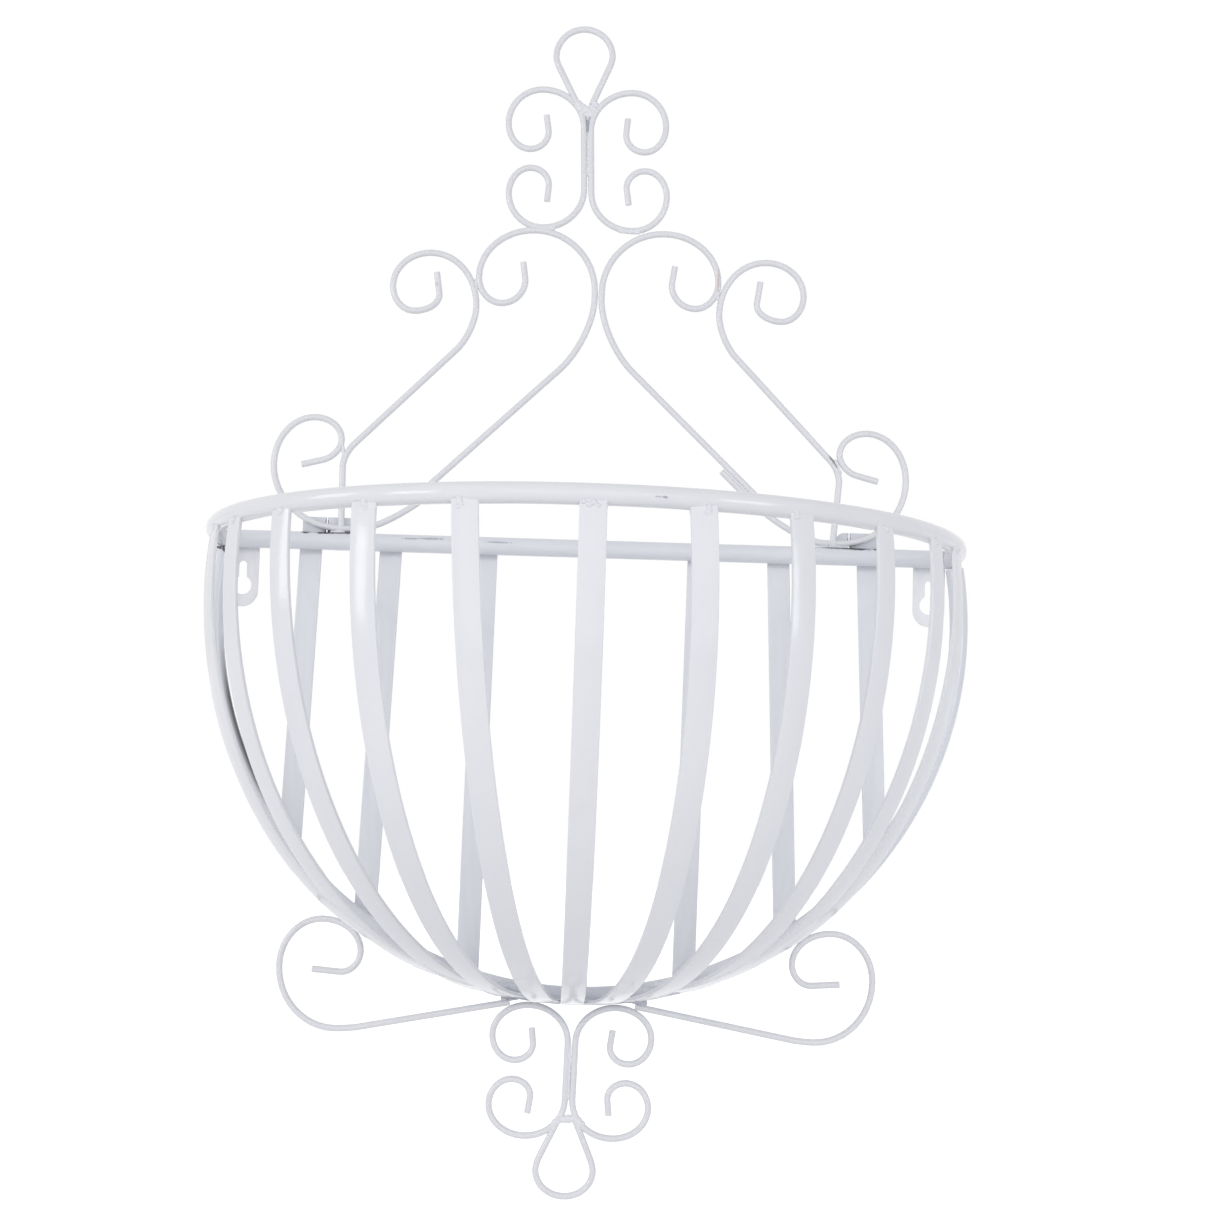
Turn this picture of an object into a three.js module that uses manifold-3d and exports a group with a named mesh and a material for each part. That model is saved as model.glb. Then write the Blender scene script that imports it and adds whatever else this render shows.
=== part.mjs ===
// A half-round wall planter of welded and powder-coated steel.
// Round tubes make the rim, the bar across the wall and the hoop below it.
// Flat strips make the bowl's ribs and the slats, and bent wires make the scrolls.
// Millimetres, +Z up, +X right. The wall is the plane Y = 0 and the basket stands out to -Y.
// The origin is on the back of the middle slat, level with the bar's axis.

import * as THREE from 'three';
import { mergeVertices } from 'three/addons/utils/BufferGeometryUtils.js';
import Module from 'manifold-3d';

const wasm = await Module();
wasm.setup();

// Stock that the frame is made of
const TUBE_D = 10;
const STRIP_W = 12;
const STRIP_T = 2;
const WIRE_D = 3.5;
const WELD_GAP = 0.3; // clearance left between two pieces that are welded together

// Rim: a half circle whose ends run straight back past the bar
const RIM_R = 195.5;
const RIM_TAIL = 5;
const RIM_X = -1; // how far the rim and the bar are welded on to the right of the hoop

// Hoop: an upright circle on the wall, its centre below the bar's axis
const HOOP_DROP = 37.5;
const HOOP_END_DROP = 2.5; // from the bar's axis down to the hoop's cut ends
const HOOP_OVERHANG = 0.9; // from the rim's axis out to the hoop's at those ends
const HOOP_R = Math.hypot(RIM_R + HOOP_OVERHANG, HOOP_DROP - HOOP_END_DROP);

// Ribs: strips bent and twisted from the rim down to the front of the hoop. Each has its azimuth,
// the gap from its foot to the last one and how far it is tipped to the middle, in degrees.
const CENTRE_RIB = { azimuth: 1.4, footX: -1.4 };
const RIBS = {
  left: [
    { azimuth: 15.1, gap: 0.8, tip: 7.2 },
    { azimuth: 29.5, gap: 3.5, tip: 6.2 },
    { azimuth: 45.1, gap: 0.8, tip: 10.5 },
    { azimuth: 58, gap: 7.3, tip: 6.2 },
    { azimuth: 67.6, gap: 8.6, tip: 7 },
  ],
  right: [
    { azimuth: 16.1, gap: 0.8, tip: 1.1 },
    { azimuth: 29.8, gap: 3.4, tip: 2.3 },
    { azimuth: 43.4, gap: 6.6, tip: 1.5 },
    { azimuth: 57.7, gap: 1.3, tip: 6 },
    { azimuth: 67.8, gap: 11.2, tip: 7 },
  ],
};
const TWIST_EASE = 0.6; // below 1, a rib turns most of its twist near the rim
const RIB_TOP_DROP = 3; // from the rim's axis down to the top of a rib
const RIB_INSET = 1; // from the rim's outline in to a rib's outer face
const FOOT_INSET = 2; // from the hoop's outline in to a rib's outer face

// Slats: straight strips on the wall, spaced evenly between the rim's ends. Each has the error
// of its place, and how far its foot drifts sideways from its top.
const SLATS = {
  slat_left_3: { error: -3.7, drift: -4.5 },
  slat_left_2: { error: -9.3, drift: -6.2 },
  slat_left_1: { error: -6.6, drift: -2.3 },
  slat_centre: { error: 0, drift: 0 },
  slat_right_1: { error: 10.6, drift: -2.5 },
  slat_right_2: { error: 4.5, drift: 8.1 },
  slat_right_3: { error: 4.1, drift: 6.8 },
};
const SLAT_RISE = 4; // from the bar's axis up to the slats' tops
const SLAT_LAP = 1; // from the hoop's axis down to the slats' ends

// Hanging tabs: a keyhole in each takes a screw head and its shank
const TAB_W = 17;
const TAB_INSET = { left: 9.7, right: 10.3 }; // from the rim's axis in to the keyhole
const KEYHOLE_D = 10;
const KEYHOLE_DROP = 24.5; // from the bar's axis down to the keyhole's centre
const SLOT_W = 4.3;
const SLOT_RISE = 13.2; // from the keyhole's centre up to the end of its slot
const TAB_END = 11.5; // from the keyhole's centre down to the tab's round end

// Scroll plates: two small plates side by side on the bar, behind each side scroll
const PLATE_T = 2;
const PLATE_H = 8.4;
const PLATE_SEAM = 0.8;
const PLATES = {
  left: { inner: 128.5, seam: 141.9, outer: 155, round: 1.5 },
  right: { inner: 132.7, seam: 140.1, outer: 157, round: 5 },
};

// Wires. Each point is [across from the scroll's axis, height]. The points of a curl lie
// where the wire runs upright and level by turns.
// Heights of the rods and of the side scroll are taken from the top of the bar.
const ORNAMENT_X = 0.6; // the axis between the two inner rods
const INNER_ROD = {
  tip: [41.4, 151.4],
  curl: [[39.9, 141.5], [52.8, 128.4], [65.3, 143], [35.3, 169.5]],
  stemTop: 136,
  stemFoot: 132,
  bend: [0, 109.5],
  rodStart: [20, 92.3],
  rodEnd: [88, 27],
};
const OUTER_ROD = {
  tip: [88.8, 144.3],
  curl: [[87, 132], [100.7, 122.7], [112.5, 136.8], [91.9, 155.2], [66.7, 126]],
  shoulder: [66.7, 111.4],
  rodStart: [77, 101.5],
};
const OUTER_LEG = {
  left: { rodEnd: [130.1, 48.1], knee: [135.6, 42.5], legTop: [135.6, 36], footX: 135 },
  right: { rodEnd: [129, 46.8], knee: [134.5, 41.1], legTop: [133.7, 34], footX: 131 },
};
const SIDE_SCROLL = {
  tip: [155.6, 36.3],
  hookStart: [143.9, 39.3],
  hookBend: [134.6, 42],
  curl: [[134.6, 50.4], [149.2, 62.4], [170.7, 36.8]],
  floorStart: 134,
  floorEnd: 126,
  bendLength: 34, // from the corner of the bend up the inner rod
  lapLength: { left: 8, right: 20 }, // the straight end that lies along the inner rod
};

// Finial and drop: a pair of scrolls back to back, with a loop. Heights from the middle.
// Each finial scroll slides down along the other one until it lies on an inner rod.
const FINIAL = {
  shift: -7.5,
  lean: THREE.MathUtils.degToRad(2.1),
  tip: [22.3, 24.1],
  curl: [[21.2, 15.1], [31.3, 5.3], [43.2, 19.7], [24.5, 38.85]],
  stem: 17.5,
};
const FINIAL_LOOP = { sideStart: [13.6, 52], bend: [15.5, 55], widest: [15.5, 58.5], crown: 74, end: 31, shift: -1.5 };
const DROP = {
  shift: -1.9,
  lean: 0,
  tip: [21.2, 22],
  curl: [[20.1, 13.4], [29.8, 4.9], [41.7, 17.9], [22.8, 33.7]],
  stem: 15,
};
const DROP_LOOP = { sideStart: [12.6, 44], bend: [14.5, 47], widest: [14.5, 50], crown: 64, end: 27, shift: 0 };

// Base scroll: points from the hoop's centre
const BASE_SCROLL = {
  tip: [139, -189.5],
  curl: [[124, -190.6], [113.8, -179.7], [134.4, -163.2], [156.4, -187.9], [126, -219.9]],
  bend: [119, -219.9],
  tailStart: [113, -218.75],
};

// Fineness of the faceted solids
const TUBE_SIDES = 12;
const TUBE_TOOL_SIDES = 20;
const WIRE_SIDES = 8;
const ARC_STEPS = 38;
const RIB_STEPS = 16;
const ROUND_STEPS = 5;
const QUARTER_STEPS = 5;

// Values worked out from the sizes above
const FRAME_Y = -(STRIP_T + WELD_GAP + TUBE_D / 2); // the plane of the bar, hoop and scrolls
const TUBE_R = TUBE_D / 2;
const WIRE_PITCH = WIRE_D + WELD_GAP; // between the axes of two wires welded side by side
const STEM_X = WIRE_PITCH / 2;
const SCROLL_FLOOR = WELD_GAP + WIRE_D / 2; // a wire's axis above the tube that it lies on
const HOOP_CONTACT_R = HOOP_R + TUBE_R + SCROLL_FLOOR;
const QUARTER_HANDLE = 0.5523; // handle length of a cubic curve that makes a quarter circle
const UP = new THREE.Vector3(0, 0, 1);

// ---- Solids

// A regular outline for sweeping a round bar.
function roundSection(radius, sides) {
  const points = [];
  for (let i = 0; i < sides; i += 1) {
    const angle = ((i + 0.5) / sides) * 2 * Math.PI;
    points.push(new THREE.Vector2(radius * Math.cos(angle), radius * Math.sin(angle)));
  }
  return new THREE.Shape(points);
}

// A centreline made of pieces, each cut into its own number of steps.
class Centreline extends THREE.Curve {
  constructor(pieces) {
    super();
    this.stations = [];
    this.headings = [];
    for (const { curve, steps } of pieces) {
      for (let i = 0; i <= steps; i += 1) {
        const t = i / steps;
        const heading = curve.getTangent(t);
        if (i === 0 && this.stations.length > 0) {
          this.headings[this.headings.length - 1].add(heading).normalize();
        } else {
          this.stations.push(curve.getPoint(t));
          this.headings.push(heading);
        }
      }
    }
    this.steps = this.stations.length - 1;
  }

  getPointAt(u) {
    return this.stations[Math.round(u * this.steps)].clone();
  }

  getTangentAt(u) {
    return this.headings[Math.round(u * this.steps)].clone();
  }
}

// A circular arc about a centre, from one angle through a sweep, in the plane of two axes.
class Arc extends THREE.Curve {
  constructor(centre, radius, firstAxis, secondAxis, start, sweep) {
    super();
    this.centre = centre;
    this.across = firstAxis.clone().multiplyScalar(radius);
    this.along = secondAxis.clone().multiplyScalar(radius);
    this.start = start;
    this.sweep = sweep;
  }

  getPoint(t) {
    const angle = this.start + this.sweep * t;
    const point = this.centre.clone().addScaledVector(this.across, Math.cos(angle));
    return point.addScaledVector(this.along, Math.sin(angle));
  }
}

function sweepRound(centreline, diameter, sides) {
  return new THREE.ExtrudeGeometry(roundSection(diameter / 2, sides), {
    extrudePath: centreline,
    steps: centreline.steps,
    bevelEnabled: false,
  });
}

// A flat plate from an outline drawn as (x, z), standing upright with its back at y = back.
function uprightPlate(shape, thickness, back) {
  const geometry = new THREE.ExtrudeGeometry(shape, {
    depth: thickness,
    curveSegments: ROUND_STEPS,
    bevelEnabled: false,
  });
  return geometry.rotateX(Math.PI / 2).translate(0, back, 0);
}

function toSolid(geometry) {
  const bare = geometry.clone();
  bare.deleteAttribute('normal');
  bare.deleteAttribute('uv');
  const merged = mergeVertices(bare, 1e-4);
  return new wasm.Manifold(new wasm.Mesh({
    numProp: 3,
    vertProperties: new Float32Array(merged.attributes.position.array),
    triVerts: new Uint32Array(merged.index.array),
  }));
}

function toGeometry(solid) {
  const mesh = solid.getMesh();
  const geometry = new THREE.BufferGeometry();
  geometry.setAttribute('position', new THREE.BufferAttribute(mesh.vertProperties, 3));
  geometry.setIndex(new THREE.BufferAttribute(mesh.triVerts, 1));
  return geometry;
}

// Cuts the tools out of a piece.
function cutAway(geometry, ...tools) {
  return toGeometry(tools.reduce((solid, tool) => solid.subtract(toSolid(tool)), toSolid(geometry)));
}

// ---- Rim, bar and hoop

function rimCentreline() {
  const right = new THREE.Vector3(1, 0, 0);
  const back = new THREE.Vector3(0, 1, 0);
  const centre = new THREE.Vector3(RIM_X, FRAME_Y, 0);
  const arc = new Arc(centre, RIM_R, right, back, Math.PI, Math.PI);
  const tail = new THREE.Vector3(0, RIM_TAIL, 0);
  const leftEnd = arc.getPoint(0);
  const rightEnd = arc.getPoint(1);
  return new Centreline([
    { curve: new THREE.LineCurve3(leftEnd.clone().add(tail), leftEnd), steps: 1 },
    { curve: arc, steps: ARC_STEPS },
    { curve: new THREE.LineCurve3(rightEnd, rightEnd.clone().add(tail)), steps: 1 },
  ]);
}

// The room that the rim's tail needs on one side, used to shape the ends that meet it.
function tailTool(side) {
  const tool = new THREE.CylinderGeometry(TUBE_R + WELD_GAP, TUBE_R + WELD_GAP, 4 * TUBE_D, TUBE_TOOL_SIDES);
  return tool.translate(RIM_X + side * RIM_R, FRAME_Y, 0);
}

// The room that the bar needs.
function barTool() {
  const tool = new THREE.CylinderGeometry(TUBE_R + WELD_GAP, TUBE_R + WELD_GAP, 2 * RIM_R, TUBE_TOOL_SIDES);
  return tool.rotateZ(Math.PI / 2).translate(RIM_X, FRAME_Y, 0);
}

function backBar() {
  const bar = new THREE.CylinderGeometry(TUBE_R, TUBE_R, 2 * RIM_R, TUBE_SIDES);
  bar.rotateZ(Math.PI / 2).translate(RIM_X, FRAME_Y, 0);
  return cutAway(bar, tailTool(-1), tailTool(1));
}

function backHoop() {
  const centre = new THREE.Vector3(0, FRAME_Y, -HOOP_DROP);
  const endAngle = Math.asin((HOOP_DROP - HOOP_END_DROP) / HOOP_R);
  const right = new THREE.Vector3(1, 0, 0);
  const arc = new Arc(centre, HOOP_R, right, UP, Math.PI - endAngle, Math.PI + 2 * endAngle);
  const hoop = sweepRound(new Centreline([{ curve: arc, steps: ARC_STEPS }]), TUBE_D, TUBE_SIDES);
  return cutAway(hoop, tailTool(-1), tailTool(1), barTool());
}

// Height of a circle about the hoop's centre at a distance across from it, on the lower side.
function hoopHeight(x, radius = HOOP_R) {
  return -HOOP_DROP - Math.sqrt(radius * radius - x * x);
}

// ---- Ribs

const RIB_TOP_R = RIM_R + TUBE_R - RIB_INSET - STRIP_T / 2;
const RIB_FOOT_R = HOOP_R + TUBE_R - FOOT_INSET - STRIP_T / 2;
const RIB_FOOT_Y = FRAME_Y - TUBE_R - WELD_GAP;

function ribTop(azimuth) {
  const angle = THREE.MathUtils.degToRad(azimuth);
  return new THREE.Vector2(RIM_X + RIB_TOP_R * Math.sin(angle), FRAME_Y - RIB_TOP_R * Math.cos(angle));
}

// Half the width that a rib's foot takes up along the wall.
function footHalfWidth(footX, azimuth) {
  const top = ribTop(azimuth);
  const reach = Math.hypot(top.x - footX, top.y - RIB_FOOT_Y);
  return (STRIP_W / 2) * (reach / (RIB_FOOT_Y - top.y));
}

// Where the feet of one side stand: next to each other from the middle rib out.
function footPositions(side, ribs) {
  const feet = [];
  let edge = side * CENTRE_RIB.footX + footHalfWidth(CENTRE_RIB.footX, CENTRE_RIB.azimuth);
  for (const { azimuth, gap } of ribs) {
    let x = edge + gap + STRIP_W / 2;
    for (let pass = 0; pass < 20; pass += 1) {
      x = edge + gap + footHalfWidth(x, azimuth);
    }
    feet.push(side * x);
    edge = x + footHalfWidth(x, azimuth);
  }
  return feet;
}

// A strip that follows a line of points, its width along a given direction at each point.
class StripLine extends THREE.Curve {
  constructor(places) {
    super();
    this.places = places;
    this.steps = places.length - 1;
  }

  getPointAt(u) {
    return this.places[Math.round(u * this.steps)].point.clone();
  }

  computeFrenetFrames() {
    const frames = { tangents: [], normals: [], binormals: [] };
    for (const { heading, across } of this.places) {
      const binormal = across.clone().addScaledVector(heading, -across.dot(heading)).normalize();
      frames.tangents.push(heading);
      frames.normals.push(binormal.clone().cross(heading));
      frames.binormals.push(binormal);
    }
    return frames;
  }
}

// A strip bent to an arc from the rim to the front of the hoop. The arc's plane is upright, and
// is then tipped about the line from the rib's top to its foot. The strip lies along the rim at
// its top and across its plane at its foot.
function rib(azimuth, footX, tip, tools) {
  const top = ribTop(azimuth);
  const foot = new THREE.Vector2(footX, RIB_FOOT_Y);
  const reach = top.distanceTo(foot);
  const topHeight = HOOP_DROP - RIB_TOP_DROP;
  const footDepth = Math.sqrt(RIB_FOOT_R ** 2 - footX ** 2);
  const centreX = (reach ** 2 + topHeight ** 2 - footDepth ** 2) / (2 * reach);
  const radius = Math.hypot(centreX, footDepth);
  const topAngle = Math.atan2(topHeight, reach - centreX);
  const sideways = Math.abs(top.x - foot.x) / (foot.y - top.y);
  const tipAngle = THREE.MathUtils.degToRad(tip);
  const spare = (STRIP_W * (sideways + Math.abs(Math.sin(tipAngle))) + STRIP_T) / radius;
  const footAngle = Math.atan2(-footDepth, -centreX) - spare;

  const outward = new THREE.Vector3(top.x - foot.x, top.y - foot.y, 0).normalize();
  const footWidth = outward.clone().cross(UP);
  const topPoint = new THREE.Vector3(top.x, top.y, -RIB_TOP_DROP);
  const footPoint = new THREE.Vector3(foot.x, foot.y, -HOOP_DROP - footDepth);
  const chord = footPoint.sub(topPoint).normalize();
  const azimuthAngle = THREE.MathUtils.degToRad(azimuth);
  const topWidth = new THREE.Vector3(-Math.cos(azimuthAngle), -Math.sin(azimuthAngle), 0);
  footWidth.applyAxisAngle(chord, tipAngle);

  const places = [];
  for (let i = 0; i <= RIB_STEPS; i += 1) {
    const angle = topAngle + (footAngle - topAngle) * (i / RIB_STEPS);
    const point = new THREE.Vector3(foot.x, foot.y, -HOOP_DROP + radius * Math.sin(angle));
    point.addScaledVector(outward, centreX + radius * Math.cos(angle));
    point.sub(topPoint).applyAxisAngle(chord, tipAngle).add(topPoint);
    const heading = outward.clone().multiplyScalar(Math.sin(angle)).addScaledVector(UP, -Math.cos(angle));
    heading.applyAxisAngle(chord, tipAngle);
    const across = topWidth.clone().lerp(footWidth, (i / RIB_STEPS) ** TWIST_EASE);
    places.push({ point, heading, across });
  }
  const thick = STRIP_T / 2;
  const wide = STRIP_W / 2;
  const section = new THREE.Shape([
    new THREE.Vector2(-thick, -wide),
    new THREE.Vector2(thick, -wide),
    new THREE.Vector2(thick, wide),
    new THREE.Vector2(-thick, wide),
  ]);
  const geometry = new THREE.ExtrudeGeometry(section, {
    extrudePath: new StripLine(places),
    steps: RIB_STEPS,
    bevelEnabled: false,
  });
  return cutAway(geometry, ...tools);
}

// ---- Slats, tabs and plates

function slat(topX, footX) {
  const half = STRIP_W / 2;
  const footZ = hoopHeight(footX) - SLAT_LAP;
  const outline = new THREE.Shape([
    new THREE.Vector2(footX - half, footZ),
    new THREE.Vector2(footX + half, footZ),
    new THREE.Vector2(topX + half, SLAT_RISE),
    new THREE.Vector2(topX - half, SLAT_RISE),
  ]);
  return uprightPlate(outline, STRIP_T, 0);
}

function hangingTab(side, inset) {
  const half = TAB_W / 2;
  const outline = new THREE.Shape();
  outline.moveTo(half, KEYHOLE_DROP + SLAT_RISE);
  outline.lineTo(-half, KEYHOLE_DROP + SLAT_RISE);
  outline.absarc(0, half - TAB_END, half, Math.PI, 2 * Math.PI, false);
  const slotHalf = SLOT_W / 2;
  const shoulder = Math.acos(slotHalf / (KEYHOLE_D / 2));
  const slotTop = SLOT_RISE - slotHalf;
  const keyhole = new THREE.Path();
  keyhole.absarc(0, 0, KEYHOLE_D / 2, Math.PI - shoulder, shoulder, false);
  keyhole.absarc(0, slotTop, slotHalf, 0, Math.PI, false);
  outline.holes.push(keyhole);
  return uprightPlate(outline, STRIP_T, 0).translate(RIM_X + side * (RIM_R - inset), 0, -KEYHOLE_DROP);
}

// One plate, seen from the front, from x = left to x = right, with its free corner rounded.
function scrollPlate(side, from, to, round) {
  const front = WIRE_D / 2 + WELD_GAP;
  const foot = Math.sqrt(Math.max(TUBE_R ** 2 - front ** 2, 0)) + WELD_GAP;
  const outline = new THREE.Shape();
  outline.moveTo(from, foot);
  outline.lineTo(to, foot);
  outline.lineTo(to, foot + PLATE_H);
  outline.lineTo(from + round, foot + PLATE_H);
  outline.absarc(from + round, foot + PLATE_H - round, round, Math.PI / 2, Math.PI, false);
  const plate = uprightPlate(outline, PLATE_T, FRAME_Y + front + PLATE_T);
  return side < 0 ? plate.rotateZ(Math.PI).translate(0, 2 * (FRAME_Y + front) + PLATE_T, 0) : plate;
}

// ---- Wires

// A frame that scroll points are placed by: a shift, a lean and a mirror side.
function placePoint(frame, [x, z]) {
  const across = frame.side * x;
  const cos = Math.cos(frame.lean ?? 0);
  const sin = Math.sin(frame.lean ?? 0);
  return new THREE.Vector3(frame.x + across * cos - z * sin, FRAME_Y, frame.z + across * sin + z * cos);
}

// Moves of a wire: a straight run to a point, a turn round a corner to a point, and a curl
// through points where the wire is upright and level by turns.
const run = (end) => [{ end }];
const turn = (corner, end) => [{ corner, end }];

function curl(points, startsUpright = true) {
  const moves = [];
  for (let i = 1; i < points.length; i += 1) {
    const fromUpright = startsUpright === (i % 2 === 1);
    const upright = fromUpright ? points[i - 1] : points[i];
    const level = fromUpright ? points[i] : points[i - 1];
    moves.push({ corner: [upright[0], level[1]], end: points[i] });
  }
  return moves;
}

function wire(frame, start, ...moves) {
  const pieces = [];
  let here = placePoint(frame, start);
  for (const { corner, end } of moves.flat()) {
    const there = placePoint(frame, end);
    if (corner) {
      const bend = placePoint(frame, corner);
      const out = here.clone().lerp(bend, QUARTER_HANDLE);
      const back = there.clone().lerp(bend, QUARTER_HANDLE);
      pieces.push({ curve: new THREE.CubicBezierCurve3(here, out, back, there), steps: QUARTER_STEPS });
    } else {
      pieces.push({ curve: new THREE.LineCurve3(here, there), steps: 1 });
    }
    here = there;
  }
  return new Centreline(pieces);
}

// Least distance between two chains of points, the first one moved by a shift.
function leastDistance(first, shift, second) {
  let least = Infinity;
  const nearest = new THREE.Vector3();
  const moved = new THREE.Vector3();
  const chord = new THREE.Line3();
  const scan = (points, offset, others) => {
    for (const point of points) {
      moved.copy(point).add(offset);
      for (let i = 1; i < others.length; i += 1) {
        chord.set(others[i - 1], others[i]);
        chord.closestPointToPoint(moved, true, nearest);
        least = Math.min(least, nearest.distanceTo(moved));
      }
    }
  };
  scan(first, shift, second);
  scan(second, shift.clone().negate(), first);
  return least;
}

// How far a wire moves along a direction, from well clear, until it lies against its neighbours.
function seatAgainst(moving, neighbours, direction) {
  const clearance = (distance) => {
    const shift = direction.clone().multiplyScalar(distance);
    return Math.min(...neighbours.map((other) => leastDistance(moving.stations, shift, other.stations)));
  };
  const approach = 12;
  const stride = 0.5;
  let far = -approach;
  while (far < approach && clearance(far + stride) > WIRE_PITCH) {
    far += stride;
  }
  let near = far + stride;
  for (let pass = 0; pass < 12; pass += 1) {
    const middle = (far + near) / 2;
    if (clearance(middle) > WIRE_PITCH) {
      far = middle;
    } else {
      near = middle;
    }
  }
  return far;
}

// How far a wire moves along a direction until it lies against the hoop.
function seatOnHoop(moving, direction) {
  const centre = new THREE.Vector3(0, FRAME_Y, -HOOP_DROP);
  const reach = (distance) => {
    const shift = direction.clone().multiplyScalar(distance);
    return Math.min(...moving.stations.map((point) => point.clone().add(shift).distanceTo(centre)));
  };
  let far = -HOOP_R / 4;
  let near = HOOP_R / 4;
  for (let pass = 0; pass < 24; pass += 1) {
    const middle = (far + near) / 2;
    if (reach(middle) > HOOP_CONTACT_R) {
      far = middle;
    } else {
      near = middle;
    }
  }
  return far;
}

const barTop = (side, x = 0) => ({ side, x: ORNAMENT_X + x, z: TUBE_R, lean: 0 });

function innerRod(side) {
  const size = INNER_ROD;
  return wire(
    barTop(side),
    size.tip,
    run(size.curl[0]),
    curl([...size.curl, [STEM_X, size.stemTop]]),
    run([STEM_X, size.stemFoot]),
    turn([STEM_X + size.bend[0], size.bend[1]], size.rodStart),
    run(size.rodEnd),
  );
}

function outerRod(side, leg, x = 0) {
  const size = OUTER_ROD;
  return wire(
    barTop(side, x),
    size.tip,
    run(size.curl[0]),
    curl(size.curl),
    turn(size.shoulder, size.rodStart),
    run(leg.rodEnd),
    turn(leg.knee, leg.legTop),
    run([leg.footX, SCROLL_FLOOR + WIRE_D / 2 + WELD_GAP]),
  );
}

// The open curl of the side scroll, moved out or in to lie against the outer rod.
function sideCurl(shift) {
  const size = SIDE_SCROLL;
  const moved = ([x, z]) => [x + shift, z];
  const points = size.curl.map(moved);
  const moves = [
    run(moved(size.hookStart)),
    turn(moved(size.hookBend), points[0]),
    curl([...points, [size.floorStart, SCROLL_FLOOR]]),
  ];
  return [moved(size.tip), ...moves];
}

// The side scroll lies on the bar, and its end lies along the inner rod.
function sideScroll(side, shift, lapLength) {
  const size = SIDE_SCROLL;
  const rodStart = new THREE.Vector2(...INNER_ROD.rodStart);
  const rodEnd = new THREE.Vector2(...INNER_ROD.rodEnd);
  const along = rodEnd.clone().sub(rodStart).normalize();
  const under = new THREE.Vector2(along.y, -along.x).multiplyScalar(WIRE_PITCH);
  const lapEnd = rodEnd.clone().add(under);
  const corner = lapEnd.clone().addScaledVector(along, (SCROLL_FLOOR - lapEnd.y) / along.y);
  const bendEnd = corner.clone().addScaledVector(along, -size.bendLength);
  const tip = bendEnd.clone().addScaledVector(along, -lapLength);
  return wire(
    barTop(side),
    ...sideCurl(shift),
    run([size.floorEnd, SCROLL_FLOOR]),
    turn(corner.toArray(), bendEnd.toArray()),
    run(tip.toArray()),
  );
}

// One of two scrolls back to back.
function pairScroll(size, frame) {
  const below = ([x, z]) => [x, -z];
  const stemTop = [STEM_X, size.stem];
  return wire(
    frame,
    size.tip,
    run(size.curl[0]),
    curl([...size.curl, stemTop]),
    run(below(stemTop)),
    curl([...size.curl, stemTop].reverse().map(below)),
    run(below(size.tip)),
  );
}

// A loop of wire whose two ends stand side by side. Turned over where it hangs.
function loop(size, frame, upright) {
  const spot = (side, [x, z]) => [side * x, upright * z];
  const crown = [0, upright * size.crown];
  return wire(
    frame,
    spot(-1, [STEM_X, size.end]),
    run(spot(-1, size.sideStart)),
    turn(spot(-1, size.bend), spot(-1, size.widest)),
    curl([spot(-1, size.widest), crown, spot(1, size.widest)]),
    turn(spot(1, size.bend), spot(1, size.sideStart)),
    run(spot(1, [STEM_X, size.end])),
  );
}

// Where the tail of a base scroll ends: under the hoop, slid in until it meets the drop.
function tailEnd(side, dropScroll) {
  const still = new THREE.Vector3();
  const stride = THREE.MathUtils.degToRad(0.05);
  let angle = THREE.MathUtils.degToRad(30);
  const place = (a) => new THREE.Vector3(
    side * HOOP_CONTACT_R * Math.sin(a),
    FRAME_Y,
    -HOOP_DROP - HOOP_CONTACT_R * Math.cos(a),
  );
  while (leastDistance([place(angle - stride)], still, dropScroll.stations) > WIRE_PITCH) {
    angle -= stride;
  }
  return place(angle);
}

function baseScroll(side, frame, end) {
  const size = BASE_SCROLL;
  const moves = [run(size.curl[0]), curl(size.curl, false)];
  if (end) {
    moves.push(turn(size.bend, size.tailStart), run([side * (end.x - frame.x), end.z - frame.z]));
  }
  return wire({ ...frame, side }, size.tip, ...moves);
}

// ---- Assembly

const planter = new THREE.Group();

// Adds a piece under its name, in its own shade of the white coat.
function add(name, geometry, shade) {
  const material = new THREE.MeshStandardMaterial({ color: shade, roughness: 0.32, metalness: 0 });
  const mesh = new THREE.Mesh(geometry, material);
  mesh.name = name;
  planter.add(mesh);
}

const COAT = { tube: 0xdfe2ea, strip: 0xe6e8ee, wire: 0xd6d9e2, plate: 0xd9dce5 };
const SIDES = [['left', -1], ['right', 1]];

const rimLine = rimCentreline();
add('rim_hoop', sweepRound(rimLine, TUBE_D, TUBE_SIDES), COAT.tube);
add('back_bar', backBar(), COAT.tube);
add('back_hoop', backHoop(), COAT.tube);

const wallSide = new THREE.BoxGeometry(4 * HOOP_R, HOOP_R, 4 * HOOP_R);
wallSide.translate(0, RIB_FOOT_Y + HOOP_R / 2, 0);
const ribTools = [sweepRound(rimLine, TUBE_D + 2 * WELD_GAP, TUBE_TOOL_SIDES), wallSide];
add('rib_centre', rib(CENTRE_RIB.azimuth, CENTRE_RIB.footX, 0, ribTools), COAT.strip);
for (const [sideName, side] of SIDES) {
  const feet = footPositions(side, RIBS[sideName]);
  RIBS[sideName].forEach(({ azimuth, tip }, i) => {
    add(`rib_${sideName}_${i + 1}`, rib(side * azimuth, feet[i], side * tip, ribTools), COAT.strip);
  });
}

const slatNames = Object.keys(SLATS);
const slatPitch = (2 * RIM_R) / (slatNames.length + 1);
slatNames.forEach((name, i) => {
  const top = (i - (slatNames.length - 1) / 2) * slatPitch + SLATS[name].error;
  add(name, slat(top, top + SLATS[name].drift), COAT.strip);
});

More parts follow.
